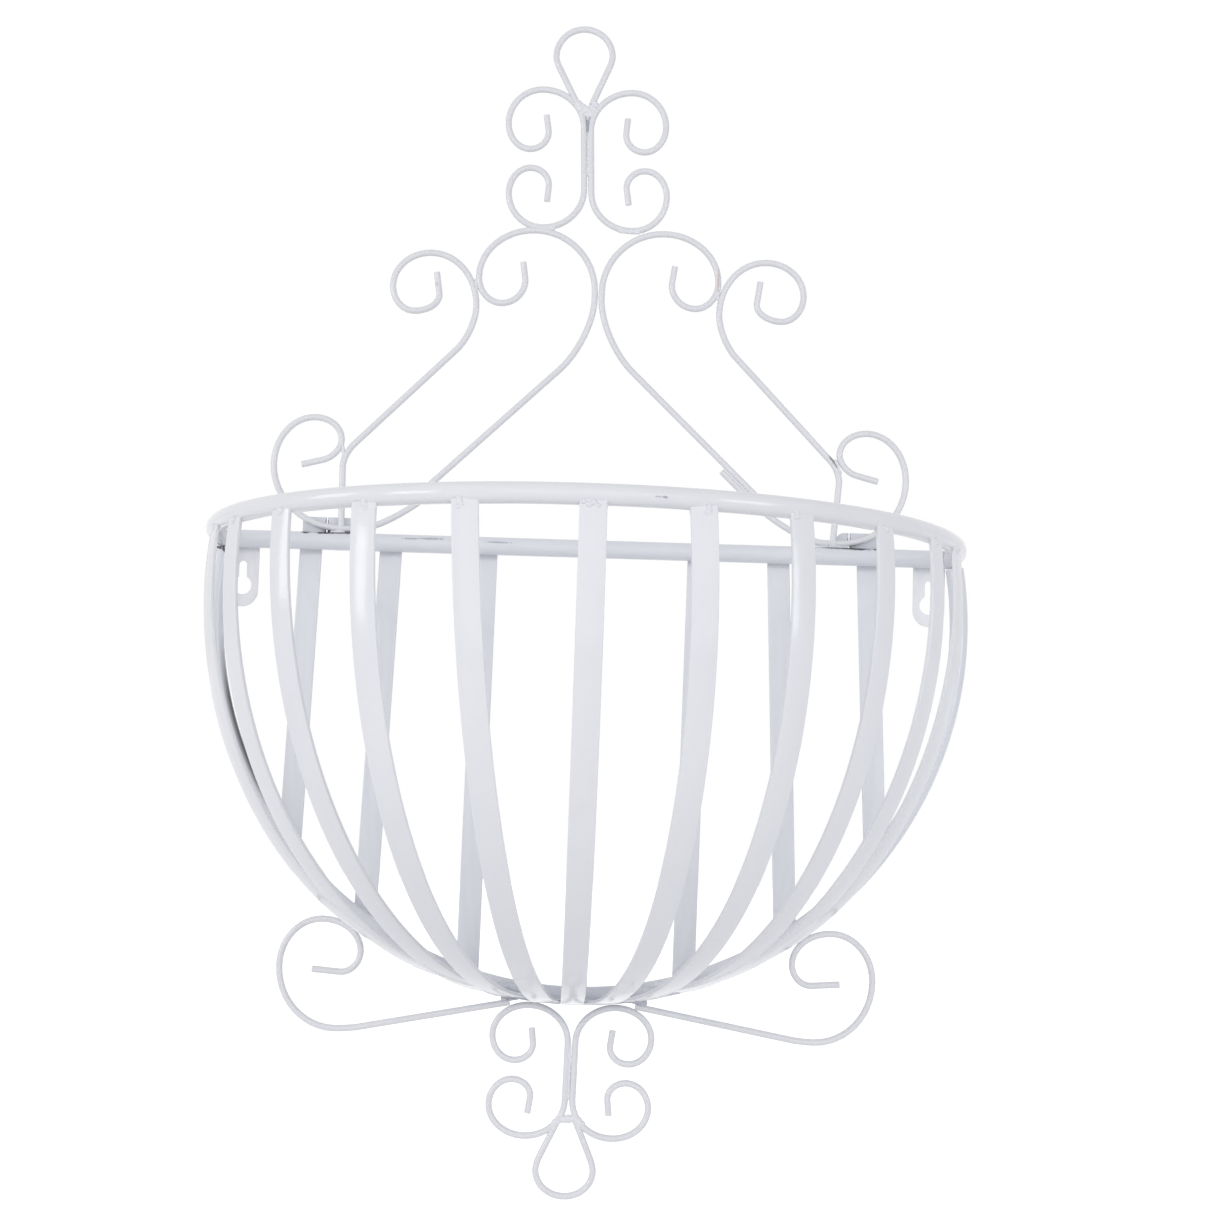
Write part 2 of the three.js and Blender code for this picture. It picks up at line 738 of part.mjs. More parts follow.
for (const [sideName, side] of SIDES) {
  add(`hanging_tab_${sideName}`, hangingTab(side, TAB_INSET[sideName]), COAT.plate);
  const plate = PLATES[sideName];
  const halfSeam = PLATE_SEAM / 2;
  add(`inner_plate_${sideName}`, scrollPlate(side, plate.inner, plate.seam - halfSeam, plate.round), COAT.plate);
  add(`outer_plate_${sideName}`, scrollPlate(side, plate.seam + halfSeam, plate.outer, 0), COAT.plate);
}

function addWire(name, centreline) {
  add(name, sweepRound(centreline, WIRE_D, WIRE_SIDES), COAT.wire);
}

const innerRods = SIDES.map(([, side]) => innerRod(side));
SIDES.forEach(([sideName, side], i) => {
  const inward = new THREE.Vector3(-side, 0, 0);
  const leg = OUTER_LEG[sideName];
  const outer = outerRod(side, leg, -side * seatAgainst(outerRod(side, leg), [innerRods[i]], inward));
  const scrollShift = -seatAgainst(wire(barTop(side), ...sideCurl(0)), [outer], inward);
  addWire(`inner_rod_${sideName}`, innerRods[i]);
  addWire(`outer_rod_${sideName}`, outer);
  addWire(`side_scroll_${sideName}`, sideScroll(side, scrollShift, SIDE_SCROLL.lapLength[sideName]));
});

// Adds two scrolls back to back, then the loop that is pushed in between their curls.
function addPair(name, size, loopSize, frames, upright) {
  const scrolls = frames.map((frame) => pairScroll(size, frame));
  SIDES.forEach(([sideName], i) => addWire(`${name}_scroll_${sideName}`, scrolls[i]));
  const inward = stemDirection(size).multiplyScalar(-upright);
  const loopFrame = { ...frames[0], side: 1, x: frames[0].x + loopSize.shift };
  const seat = seatAgainst(loop(loopSize, loopFrame, upright), scrolls, inward);
  loopFrame.x += inward.x * seat;
  loopFrame.z += inward.z * seat;
  addWire(`${name}_loop`, loop(loopSize, loopFrame, upright));
  return scrolls;
}

function stemDirection(size) {
  return new THREE.Vector3(-Math.sin(size.lean), 0, Math.cos(size.lean));
}

const downStem = stemDirection(FINIAL).negate();
const finialZ = TUBE_R + INNER_ROD.curl[3][1] + WIRE_PITCH + FINIAL.curl[3][1];
const finialFrames = SIDES.map(([, side], i) => {
  const frame = { side, x: ORNAMENT_X + FINIAL.shift, z: finialZ, lean: FINIAL.lean };
  const seat = seatAgainst(pairScroll(FINIAL, frame), [innerRods[i]], downStem);
  return { ...frame, x: frame.x + downStem.x * seat, z: frame.z + downStem.z * seat };
});
addPair('finial', FINIAL, FINIAL_LOOP, finialFrames, 1);

const dropZ = hoopHeight(0) - TUBE_R - DROP.curl[3][1];
const dropFrames = SIDES.map(([, side]) => ({ side, x: DROP.shift, z: dropZ, lean: DROP.lean }));
const dropSeat = Math.min(...dropFrames.map((frame) => seatOnHoop(pairScroll(DROP, frame), UP)));
for (const frame of dropFrames) {
  frame.z += dropSeat;
}
const dropScrolls = addPair('drop', DROP, DROP_LOOP, dropFrames, -1);

SIDES.forEach(([sideName, side], i) => {
  const frame = { x: 0, z: -HOOP_DROP, lean: 0 };
  const towardHoop = new THREE.Vector3(-side * BASE_SCROLL.curl[1][0], 0, -BASE_SCROLL.curl[1][1]).normalize();
  const seat = seatOnHoop(baseScroll(side, frame), towardHoop);
  frame.x += towardHoop.x * seat;
  frame.z += towardHoop.z * seat;
  addWire(`base_scroll_${sideName}`, baseScroll(side, frame, tailEnd(side, dropScrolls[i])));
});

export default planter;
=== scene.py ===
import math
import random

import bmesh
import bpy
from mathutils import Matrix, Vector


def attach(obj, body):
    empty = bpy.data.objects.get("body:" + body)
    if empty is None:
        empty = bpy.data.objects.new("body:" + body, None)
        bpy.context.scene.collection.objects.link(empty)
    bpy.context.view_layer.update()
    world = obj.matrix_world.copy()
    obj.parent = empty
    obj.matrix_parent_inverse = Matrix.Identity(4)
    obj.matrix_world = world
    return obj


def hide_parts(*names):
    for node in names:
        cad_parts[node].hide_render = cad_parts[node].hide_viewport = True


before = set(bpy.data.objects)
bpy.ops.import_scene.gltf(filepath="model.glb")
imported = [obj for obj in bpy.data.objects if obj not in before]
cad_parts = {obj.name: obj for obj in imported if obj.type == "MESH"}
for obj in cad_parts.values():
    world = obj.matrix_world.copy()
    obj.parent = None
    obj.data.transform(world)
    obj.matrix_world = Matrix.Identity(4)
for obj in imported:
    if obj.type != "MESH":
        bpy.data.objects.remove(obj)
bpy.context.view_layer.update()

MM = 0.001

# ---- Sizes: the frame's own, but for the ribs and wires that were fitted to the photograph again

TUBE_D = 10.0
# Coated bars and wires are a little thinner, to stay inside the frame's faceted ones
TUBE_COATED_D = 9.64
STRIP_W = 12.0
STRIP_T = 2.0
WIRE_D = 3.5
WIRE_COATED_D = 3.44
WELD_GAP = 0.3
FRAME_Y = -(STRIP_T + WELD_GAP + TUBE_D / 2)
WIRE_PITCH = WIRE_D + WELD_GAP
STEM_X = WIRE_PITCH / 2
SCROLL_FLOOR = WELD_GAP + WIRE_D / 2

RIM_R = 195.5
RIM_TAIL = 5.0
RIM_X = -1.0

HOOP_DROP = 37.5
HOOP_END_DROP = 2.5
HOOP_END_OUT = 0.9
HOOP_R = math.hypot(RIM_R + HOOP_END_OUT, HOOP_DROP - HOOP_END_DROP)
# The weld takes up this much of each of the hoop's ends
HOOP_END_TRIM = 2.5

RIB_TOP_DROP = 3.0
RIB_INSET = 1.2
FOOT_INSET = 2.2
RIB_TOP_R = RIM_R + TUBE_D / 2 - RIB_INSET - STRIP_T / 2
RIB_FOOT_R = HOOP_R + TUBE_D / 2 - FOOT_INSET - STRIP_T / 2
RIB_FOOT_Y = FRAME_Y - TUBE_D / 2 - WELD_GAP
# Below 1, a rib turns most of its twist near the rim
TWIST_EASE = 0.6
# How far a rib runs on past its foot before it is trimmed, in radians, and where it is trimmed
RIB_OVERRUN = 0.08
RIB_TRIM_Y = -10.6
# Each rib: its azimuth, where its foot stands, how far it is tipped, how far its top is turned
RIBS = {
    "rib_centre": (1.4, -1.7, 0.2, -0.4),
    "rib_left_1": (-14.8, -11.8, -6.4, 9.9),
    "rib_left_2": (-29.1, -27.8, -5.4, 8.3),
    "rib_left_3": (-44.3, -41.5, -9.3, 3.8),
    "rib_left_4": (-57.3, -65.0, -6.7, 2.7),
    "rib_left_5": (-67.6, -94.7, -7.0, 0.0),
    "rib_right_1": (15.3, 8.6, -1.8, -12.0),
    "rib_right_2": (29.1, 24.5, -0.7, 0.6),
    "rib_right_3": (44.0, 50.5, 3.0, 2.7),
    "rib_right_4": (57.8, 66.3, 4.8, 0.8),
    "rib_right_5": (67.8, 94.2, 7.0, 0.0),
}

# Each slat: where its top stands, and how far its foot drifts aside
SLAT_PITCH = 2 * RIM_R / 8
SLATS = {
    "slat_left_3": (-3 * SLAT_PITCH - 3.7, -4.5),
    "slat_left_2": (-2 * SLAT_PITCH - 9.3, -6.2),
    "slat_left_1": (-SLAT_PITCH - 6.6, -2.3),
    "slat_centre": (0.0, 0.0),
    "slat_right_1": (SLAT_PITCH + 10.6, -2.5),
    "slat_right_2": (2 * SLAT_PITCH + 4.5, 8.1),
    "slat_right_3": (3 * SLAT_PITCH + 4.1, 6.8),
}
SLAT_RISE = 4.0
SLAT_LAP = 1.0
SLAT_EDGE = 0.5

TAB_W = 17.0
TAB_X = {"left": -186.8, "right": 184.2}
KEYHOLE_R = 5.0
KEYHOLE_DROP = 24.5
SLOT_R = 2.15
SLOT_RISE = 13.2
TAB_END = 11.5

PLATE_T = 2.0
PLATE_H = 8.4
PLATE_SEAM = 0.8
# How far a small plate is let into the bar, so that its weld closes
PLATE_SINK = 0.5
# The small plates: inner end, seam, outer end, and how far the inner corner is rounded
PLATES = {"left": (128.5, 141.9, 155.0, 1.5), "right": (132.7, 140.1, 157.0, 5.0)}

SIDES = (("left", -1), ("right", 1))
QUARTER_HANDLE = 0.5523

# Wires: points across from the scroll's axis, and up
INNER_ROD = {
    "tip": (41.4, 151.4),
    "curl": [(39.9, 141.5), (52.8, 128.4), (65.3, 143), (35.3, 169.5), (STEM_X, 136)],
    "stem_foot": (STEM_X, 132),
    "bend": (STEM_X, 109.5),
    "rod": [(20, 92.3), (88, 27)],
}
OUTER_ROD = {
    "tip": (88.8, 144.3),
    "curl": [(87, 132), (100.7, 122.7), (112.5, 136.8), (91.9, 155.2), (66.7, 126)],
    "shoulder": (66.7, 111.4),
    "rod_start": (77, 101.5),
}
OUTER_LEG = {
    "left": {"rod_end": (130.1, 48.1), "knee": (135.6, 42.5), "leg_top": (135.6, 36), "foot": (135, 2.4)},
    "right": {"rod_end": (129, 46.8), "knee": (134.5, 41.1), "leg_top": (133.7, 34), "foot": (131, 2.4)},
}
OUTER_SHIFT = {"left": 0.56, "right": -0.56}
SIDE_SCROLL = {
    "tip": (155.6, 36.3),
    "hook_start": (143.9, 39.3),
    "hook_bend": (134.6, 42),
    "curl": [(134.6, 50.4), (149.2, 62.4), (170.7, 36.8), (134, SCROLL_FLOOR)],
    "floor_end": (126, SCROLL_FLOOR),
    "bend_length": 34.0,
    "lap": {"left": 3.0, "right": 20.0},
}
SIDE_SHIFT = {"left": 1.6, "right": -1.4}
FINIAL = {
    "tip": (22.3, 24.1),
    "curl": [(21.2, 15.1), (31.3, 5.3), (43.2, 19.7), (24.5, 38.85), (STEM_X, 17.5)],
    "lean": math.radians(2.1),
    "place": {"left": (-7.65, 215.9), "right": (-7.45, 213.6)},
}
FINIAL_LOOP = {
    "start": (13.6, 52), "bend": (15.5, 55.6), "widest": (15.5, 58.5), "crown": 74.0,
    "end": (3.8, 31.0), "place": (-8.9, 214.7),
}
DROP = {
    "tip": (21.2, 22),
    "curl": [(20.1, 13.4), (29.8, 4.9), (41.7, 17.9), (22.8, 33.7), (STEM_X, 15)],
    "lean": math.radians(-1.2),
    "place": {"left": (-1.5, -276.6), "right": (-1.3, -275.9)},
}
DROP_LOOP = {
    "start": (13.1, 43), "bend": (15.0, 47), "widest": (15.0, 50), "crown": 63.1,
    "end": (4.2, 23.5), "place": (-1.9, -277.1),
}
BASE_SCROLL = {
    "tip": (139, -189.5),
    "curl": [(124, -190.6), (113.8, -179.7), (134.4, -163.2), (156.4, -187.9), (126, -219.9)],
    "bend": (119, -219.9),
    "tail_start": (113, -218.75),
    "tail_end": {"left": (-34.27, -241.18), "right": (31.6, -241.61)},
    "out": 0.05,
    "down": 0.07,
}


# ---- Camera, at the photograph's view

PHOTO_PX = 1223.0
FOCAL_PX = 1784.1
SENSOR_MM = 36.0
CAMERA_AT = (12.3, -961.1, -116.1)
CAMERA_TURN = {"yaw": 0.00077, "pitch": 0.08657, "roll": 0.03027}


def rotation_from_view(yaw, pitch, roll):
    level_ahead = math.cos(pitch)
    ahead = Vector((math.sin(yaw) * level_ahead, math.cos(yaw) * level_ahead, math.sin(pitch)))
    level = Vector((math.cos(yaw), -math.sin(yaw), 0))
    upright = level.cross(ahead)
    right = math.cos(roll) * level + math.sin(roll) * upright
    up = -math.sin(roll) * level + math.cos(roll) * upright
    return Matrix((right, up, -ahead)).transposed().to_4x4()


def place_camera():
    data = bpy.data.cameras.new("front_view")
    data.sensor_width = SENSOR_MM
    data.lens = SENSOR_MM * FOCAL_PX / PHOTO_PX
    data.clip_start = 0.01
    camera = bpy.data.objects.new("front_view", data)
    place = Matrix.Translation(Vector(CAMERA_AT) * MM)
    camera.matrix_world = place @ rotation_from_view(**CAMERA_TURN)
    bpy.context.collection.objects.link(camera)
    bpy.context.scene.camera = camera


# ---- Colours, stains and painted shade

# Tints of the marks below: the dark and grey ones are mostly painted shade in gaps, corners and recesses
DARK = (0.03, 0.03, 0.04, 1)
GREY = (0.25, 0.26, 0.3, 1)
RUST = (0.42, 0.2, 0.12, 1)
# Painted shade on the lowest parts of the basket
LOW_SHADE = (0.42, 0.44, 0.51, 1)
SHADOWED = (0.62, 0.65, 0.72, 1)
SPECK = (0.52, 0.53, 0.56, 1)
SCUFF = (0.62, 0.63, 0.68, 1)

# Stains and patches of painted shade: centre, radii, strength, tint and, if it lies aslant, its lean in
# degrees
# Painted shade in the deep corner at the left end, where the rim, bar, hoop and outer rib meet
CORNER_SHADE = [
    ((-196.2, -10, 0.6), (1.3, 9, 2.7), 0.97, DARK),
    ((-199, -10, -5.2), (2.6, 9, 0.9), 0.95, DARK, 22),
    ((-195.4, -10, -6.4), (0.9, 9, 2.0), 0.9, DARK, -30),
]
# Painted shade in the corners, also at the right end's corner; the last two are small grey marks on the
# rim's front
RIM_STAINS_AND_SHADE = CORNER_SHADE + [
    ((196.6, -10, 3.2), (0.9, 7, 1.5), 0.7, DARK),
    ((193.6, -10, 1.4), (3.4, 7, 0.6), 0.5, GREY, 30),
    ((34.6, -205, -0.6), (1.3, 4, 0.5), 0.7, GREY),
    ((31.6, -205, -0.5), (1.6, 4, 0.35), 0.5, GREY),
]
# Painted shade: the corner, and the hoop darker along its lowest part and its lower left
HOOP_SHADE = CORNER_SHADE + [
    ((0, FRAME_Y, -237), (95, 9, 9), 0.45, LOW_SHADE),
    ((-70, FRAME_Y, -222), (55, 9, 9), 0.35, LOW_SHADE, -20),
]
# Painted shade on the lower ends of the ribs, at the bottom of the basket
STRIP_SHADE = [
    ((0, -14, -242), (110, 16, 32), 0.6, SHADOWED),
    ((0, -12, -240), (85, 10, 11), 0.6, LOW_SHADE),
]
# Painted shade in the corners and in the gaps under the small plates and side scrolls; the last three are
# small grey marks on the bar's front
BAR_STAINS_AND_SHADE = CORNER_SHADE + [
    ((-152.6, FRAME_Y - 2, 4.6), (2.4, 3, 1.1), 0.95, DARK),
    ((-142, FRAME_Y - 2, 4.5), (5, 3, 1.2), 0.95, DARK),
    ((-133, FRAME_Y - 2, 4.5), (9, 3, 0.7), 0.8, DARK),
    ((133, FRAME_Y - 2, 4.6), (8, 3, 0.8), 0.8, DARK),
    ((143.6, FRAME_Y - 2, 4.5), (7, 3, 1.2), 0.95, DARK),
    ((155, FRAME_Y - 2, 4.6), (3, 3, 1.2), 0.9, DARK),
    ((-85, FRAME_Y - 4, 2.5), (7, 3, 0.5), 0.6, GREY),
    ((-96, FRAME_Y - 4, 2.2), (4, 3, 0.4), 0.6, GREY),
    ((-49, FRAME_Y - 4, 1.6), (7, 3, 0.5), 0.5, GREY),
]
# Painted shade in the seam between the two small plates
PLATE_SHADE = [
    ((-141.8, FRAME_Y, 8), (0.9, 6, 7), 0.9, DARK),
    ((-141.4, FRAME_Y, 5.5), (2.2, 6, 1.2), 0.9, DARK),
    ((140.1, FRAME_Y, 8), (0.9, 6, 6), 0.85, DARK),
]
# Painted shade in the groove where a rod meets the side scroll's hook and in the gap at the finial; the
# last two are rust
WIRE_STAINS_AND_SHADE = [
    ((130.8, FRAME_Y, 51), (1.0, 4, 4.6), 0.6, DARK, -38),
    ((-8.1, FRAME_Y, 234), (0.5, 4, 5.0), 0.6, DARK),
    ((-87.4, FRAME_Y, 142.3), (1.0, 3, 1.4), 0.4, RUST),
    ((65.8, FRAME_Y, 148), (0.7, 3, 9), 0.4, RUST),
]
# Painted shade: the dark triangles under the hoop where the base scrolls meet it, the gap at the finial,
# and the low shade at the rib feet
WELD_SHADE = [
    ((-33, FRAME_Y, -238.2), (5.5, 6, 1.2), 0.85, DARK, 12),
    ((31, FRAME_Y, -237.6), (4.5, 6, 1.2), 0.85, DARK, -14),
    ((29.6, FRAME_Y, -240.4), (0.9, 6, 0.9), 0.7, DARK),
    ((-35.4, FRAME_Y, -239.4), (0.9, 6, 0.9), 0.8, DARK),
    ((-8.1, FRAME_Y, 234), (1.3, 4, 4.4), 0.75, GREY),
    ((0, -12, -239), (70, 10, 8), 0.7, LOW_SHADE),
]

# Stains and patches of painted shade fade between these distances from their centres, in parts of their
# radii
STAIN_AND_SHADE_FADE = (0.75, 1.25)

# Painted shade on the hoop's inner side: its depth in the tube, its strength, and where it fades out and
# in
BAND_FROM = 2.2
BAND_TO = 4.4
BAND_STRENGTH = 0.95
BAND_LIMITS = (("X", -140, -155), ("Z", -50, -85), ("Z", -170, -130))

# Noises in the coat: scale, detail, the part of the noise that counts, and what it is spread to
CLOUDS = (22.0, 4.0, 0.3, 0.7, 0.0, 1.0)
DUST = (420.0, 2.0, 0.76, 0.82, 0.0)
SCUFFS = (90.0, 5.0, 0.6, 0.95, 0.0, 0.16)
RAGGED = (700.0, 3.0, 0.3, 0.7, -0.3, 0.3)
GLOSS = (60.0, 3.0, 0.3, 0.7, 0.13, 0.2)
# Waves in its surface: scale, detail, and depth in metres
PEEL = (420.0, 1.0, 0.0003)
SAG = (60.0, 0.0, 0.001)
SHINE = {"Coat Weight": 0.15, "Coat Roughness": 0.06, "IOR": 1.5, "Specular IOR Level": 0.38}
ALONG_STRIP = (1, 1, 0.35)

# ---- Materials

NODE_COLUMN = 180
NODE_ROW = 200


def beside(at, columns, rows=0):
    return (at[0] + columns * NODE_COLUMN, at[1] - rows * NODE_ROW)


def add_node(tree, kind, at, **inputs):
    node = tree.nodes.new(kind)
    node.location = at
    for name, value in inputs.items():
        node.inputs[name.replace("_", " ")].default_value = value
    return node


def maths(tree, operation, at, first, second):
    node = add_node(tree, "ShaderNodeMath", at)
    node.operation = operation
    tree.links.new(first, node.inputs[0])
    tree.links.new(second, node.inputs[1])
    return node.outputs[0]


def vector_maths(tree, operation, at, vector):
    node = add_node(tree, "ShaderNodeVectorMath", at)
    node.operation = operation
    tree.links.new(vector, node.inputs[0])
    return node


def noise(tree, coords, at, scale, detail, stretch=None):
    if stretch:
        mapping = add_node(tree, "ShaderNodeMapping", beside(at, -1), Scale=stretch)
        tree.links.new(coords, mapping.inputs["Vector"])
        coords = mapping.outputs["Vector"]
    texture = add_node(tree, "ShaderNodeTexNoise", at, Scale=scale, Detail=detail)
    tree.links.new(coords, texture.inputs["Vector"])
    return texture.outputs["Fac"]


def spread(tree, value, at, low, high, to_low, to_high):
    ramp = add_node(
        tree, "ShaderNodeMapRange", at, From_Min=low, From_Max=high, To_Min=to_low, To_Max=to_high,
    )
    tree.links.new(value, ramp.inputs["Value"])
    return ramp.outputs["Result"]


def spread_noise(tree, coords, height, grain, stretch=None):
    """One noise of the coat, spread between its two levels."""
    scale, detail, *levels = grain
    value = noise(tree, coords, (-1000, height), scale, detail, stretch)
    return spread(tree, value, (-800, height), *levels)


def blend_colour(tree, factor, first, second, at):
    mix = add_node(tree, "ShaderNodeMix", at)
    mix.data_type = "RGBA"
    tree.links.new(factor, mix.inputs["Factor"])
    for socket, value in ((mix.inputs["A"], first), (mix.inputs["B"], second)):
        if isinstance(value, tuple):
            socket.default_value = value
        else:
            tree.links.new(value, socket)
    return mix.outputs["Result"]


def stain_and_shade(tree, coords, edge, mark, at):
    """How much of a mark lies at a point, for stains and painted shade alike: full in the middle, with a
    ragged edge.
    """
    centre, radii, strength = mark[:3]
    lean = mark[4] if len(mark) > 4 else 0
    mapping = add_node(
        tree, "ShaderNodeMapping", at, Location=[c * MM for c in centre],
        Rotation=(0, math.radians(lean), 0), Scale=[r * MM for r in radii],
    )
    mapping.vector_type = "TEXTURE"
    tree.links.new(coords, mapping.inputs["Vector"])
    away = vector_maths(tree, "LENGTH", beside(at, 1), mapping.outputs["Vector"])
    ragged = maths(tree, "ADD", beside(at, 2), away.outputs["Value"], edge)
    return spread(tree, ragged, beside(at, 3), *STAIN_AND_SHADE_FADE, strength, 0.0)


def painted_shade_band(tree, coords, at):
    """Painted shade along the inner side of the hoop, where the outer left ribs keep it in the dark."""
    offset = vector_maths(tree, "MULTIPLY_ADD", at, coords)
    offset.inputs[1].default_value = (1, 0, 1)
    offset.inputs[2].default_value = (0, 0, HOOP_DROP * MM)
    radius = vector_maths(tree, "LENGTH", beside(at, 1), offset.outputs["Vector"]).outputs["Value"]
    axes = add_node(tree, "ShaderNodeSeparateXYZ", beside(at, 0, 1))
    tree.links.new(coords, axes.inputs["Vector"])
    outer, inner = (HOOP_R - BAND_FROM) * MM, (HOOP_R - BAND_TO) * MM
    amount = spread(tree, radius, beside(at, 2), outer, inner, 0.0, BAND_STRENGTH)
    for row, (axis, start, end) in enumerate(BAND_LIMITS, 1):
        spot = beside(at, 1, row)
        limit = spread(tree, axes.outputs[axis], spot, start * MM, end * MM, 0.0, 1.0)
        amount = maths(tree, "MULTIPLY", beside(at, 3, row), amount, limit)
    return amount


def coat_colour(tree, coords, tone, shade, streak, stains_and_shade, band, speckled):
    """The white of the coat, with clouds, specks, thin patches, stains and painted shade, and a band of
    painted shade.
    """
    clouds = spread_noise(tree, coords, 300, CLOUDS, streak)
    colour = blend_colour(tree, clouds, tone, shade, (-560, 300))
    specks = spread_noise(tree, coords, 100, (*DUST, speckled))
    colour = blend_colour(tree, specks, colour, SPECK, (-340, 300))
    thin = spread_noise(tree, coords, -100, SCUFFS, streak)
    colour = blend_colour(tree, thin, colour, SCUFF, (-120, 300))
    edge = spread_noise(tree, coords, -700, RAGGED)
    for i, mark in enumerate(stains_and_shade):
        amount = stain_and_shade(tree, coords, edge, mark, (-900, -900 - 220 * i))
        colour = blend_colour(tree, amount, colour, mark[3], (100, 300 - 40 * i))
    # A band of painted shade, darkening the hoop's inner side
    if band:
        colour = blend_colour(tree, band(tree, coords, (-900, 700)), colour, DARK, (300, 500))
    return colour


def surface_waves(tree, coords, strength):
    """Fine orange peel on long, soft waves."""
    normal = None
    for spot, (scale, detail, depth) in (((-1000, -620), SAG), ((-1000, -500), PEEL)):
        height = noise(tree, coords, spot, scale, detail)
        bump = add_node(tree, "ShaderNodeBump", (340, spot[1]), Strength=strength, Distance=depth)
        tree.links.new(height, bump.inputs["Height"])
        if normal is not None:
            tree.links.new(normal, bump.inputs["Normal"])
        normal = bump.outputs["Normal"]
    return normal


def powder_coat(
    name, tone, shade, streak=(1, 1, 1), stains_and_shade=(), peel_strength=0.16, band=None, speckled=0.4,
):
    """Glossy white powder coat: slightly wavy, with specks, thin patches, grey stains and painted shade.
    """
    material = bpy.data.materials.new(name)
    material.use_nodes = True
    tree = material.node_tree
    shader = tree.nodes["Principled BSDF"]
    shader.location = (600, 0)
    coords = add_node(tree, "ShaderNodeTexCoord", (-1400, 0)).outputs["Object"]
    colour = coat_colour(tree, coords, tone, shade, streak, stains_and_shade, band, speckled)
    tree.links.new(colour, shader.inputs["Base Color"])
    tree.links.new(spread_noise(tree, coords, -300, GLOSS), shader.inputs["Roughness"])
    tree.links.new(surface_waves(tree, coords, peel_strength), shader.inputs["Normal"])
    for socket, value in SHINE.items():
        shader.inputs[socket].default_value = value
    return material


# ---- Pieces

DOUBLES = 1e-6
STRIP_ROUNDING = 0.55
CAP_ROUNDING = 0.09
ROUNDED = {"segments": 3, "profile": 0.5, "material": -1}


def finish_piece(name, bm, nodes, material, smooth_angle=35.0):
    """Makes an object of a bmesh, closes its doubles and lets it stand for its nodes."""
    bmesh.ops.remove_doubles(bm, verts=bm.verts, dist=DOUBLES)
    bmesh.ops.recalc_face_normals(bm, faces=bm.faces)
    limit = math.radians(smooth_angle)
    for face in bm.faces:
        face.smooth = True
    for edge in bm.edges:
        edge.smooth = len(edge.link_faces) == 2 and edge.calc_face_angle(0) < limit
    mesh = bpy.data.meshes.new(name)
    bm.to_mesh(mesh)
    bm.free()
    piece = bpy.data.objects.new(name, mesh)
    bpy.context.collection.objects.link(piece)
    mesh.materials.append(material)
    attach(piece, "root")
    if nodes:
        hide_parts(*nodes)


def evaluated_mesh(holder):
    """The mesh that an object shows once its bevel or its modifiers are applied."""
    bpy.context.view_layer.update()
    depsgraph = bpy.context.evaluated_depsgraph_get()
    return bpy.data.meshes.new_from_object(holder.evaluated_get(depsgraph))


def bend_curve(spline, strokes):
    """Lays a spline along bezier strokes that follow each other."""
    spline.bezier_points.add(len(strokes))
    points = spline.bezier_points
    points[0].co = strokes[0][0] * MM
    for i, (_, handle_out, handle_in, end) in enumerate(strokes):
        points[i].handle_right = handle_out * MM
        points[i + 1].handle_left = handle_in * MM
        points[i + 1].co = end * MM
    points[0].handle_left = points[0].co * 2 - points[0].handle_right
    points[-1].handle_right = points[-1].co * 2 - points[-1].handle_left


def round_bar(strokes, diameter, sides_step, smooth_steps):
    """A round bar bent along bezier strokes, its cut ends slightly rounded by the coat."""
    data = bpy.data.curves.new("bar", "CURVE")
    data.dimensions = "3D"
    data.bevel_depth = diameter / 2 * MM
    data.bevel_resolution = sides_step
    data.resolution_u = smooth_steps
    data.use_fill_caps = True
    bend_curve(data.splines.new("BEZIER"), strokes)
    carrier = bpy.data.objects.new("bar", data)
    bpy.context.collection.objects.link(carrier)
    mesh = evaluated_mesh(carrier)
    bm = bmesh.new()
    bm.from_mesh(mesh)
    bpy.data.objects.remove(carrier)
    bpy.data.curves.remove(data)
    bpy.data.meshes.remove(mesh)
    bmesh.ops.remove_doubles(bm, verts=bm.verts, dist=DOUBLES)
    caps = [face for face in bm.faces if len(face.verts) > 4]
    rims = list({edge for face in caps for edge in face.edges})
    if rims:
        rounding = CAP_ROUNDING * diameter * MM
        bmesh.ops.bevel(bm, geom=rims, offset=rounding, affect="EDGES", **ROUNDED)
    return bm


def straight(start, end):
    return (start, start.lerp(end, 1 / 3), end.lerp(start, 1 / 3), end)


def quarter(start, corner, end):
    return (start, start.lerp(corner, QUARTER_HANDLE), end.lerp(corner, QUARTER_HANDLE), end)


def arc_strokes(centre, radius, first_axis, second_axis, start, sweep, parts):
    """An arc as bezier strokes, each short enough to be true to the circle."""
    handle = 4 / 3 * math.tan(sweep / parts / 4) * radius
    strokes = []
    for i in range(parts):
        ends = []
        for angle in (start + sweep * i / parts, start + sweep * (i + 1) / parts):
            point = centre + radius * (math.cos(angle) * first_axis + math.sin(angle) * second_axis)
            ahead = -math.sin(angle) * first_axis + math.cos(angle) * second_axis
            ends.append((point, ahead))
        (a, a_ahead), (b, b_ahead) = ends
        strokes.append((a, a + a_ahead * handle, b - b_ahead * handle, b))
    return strokes


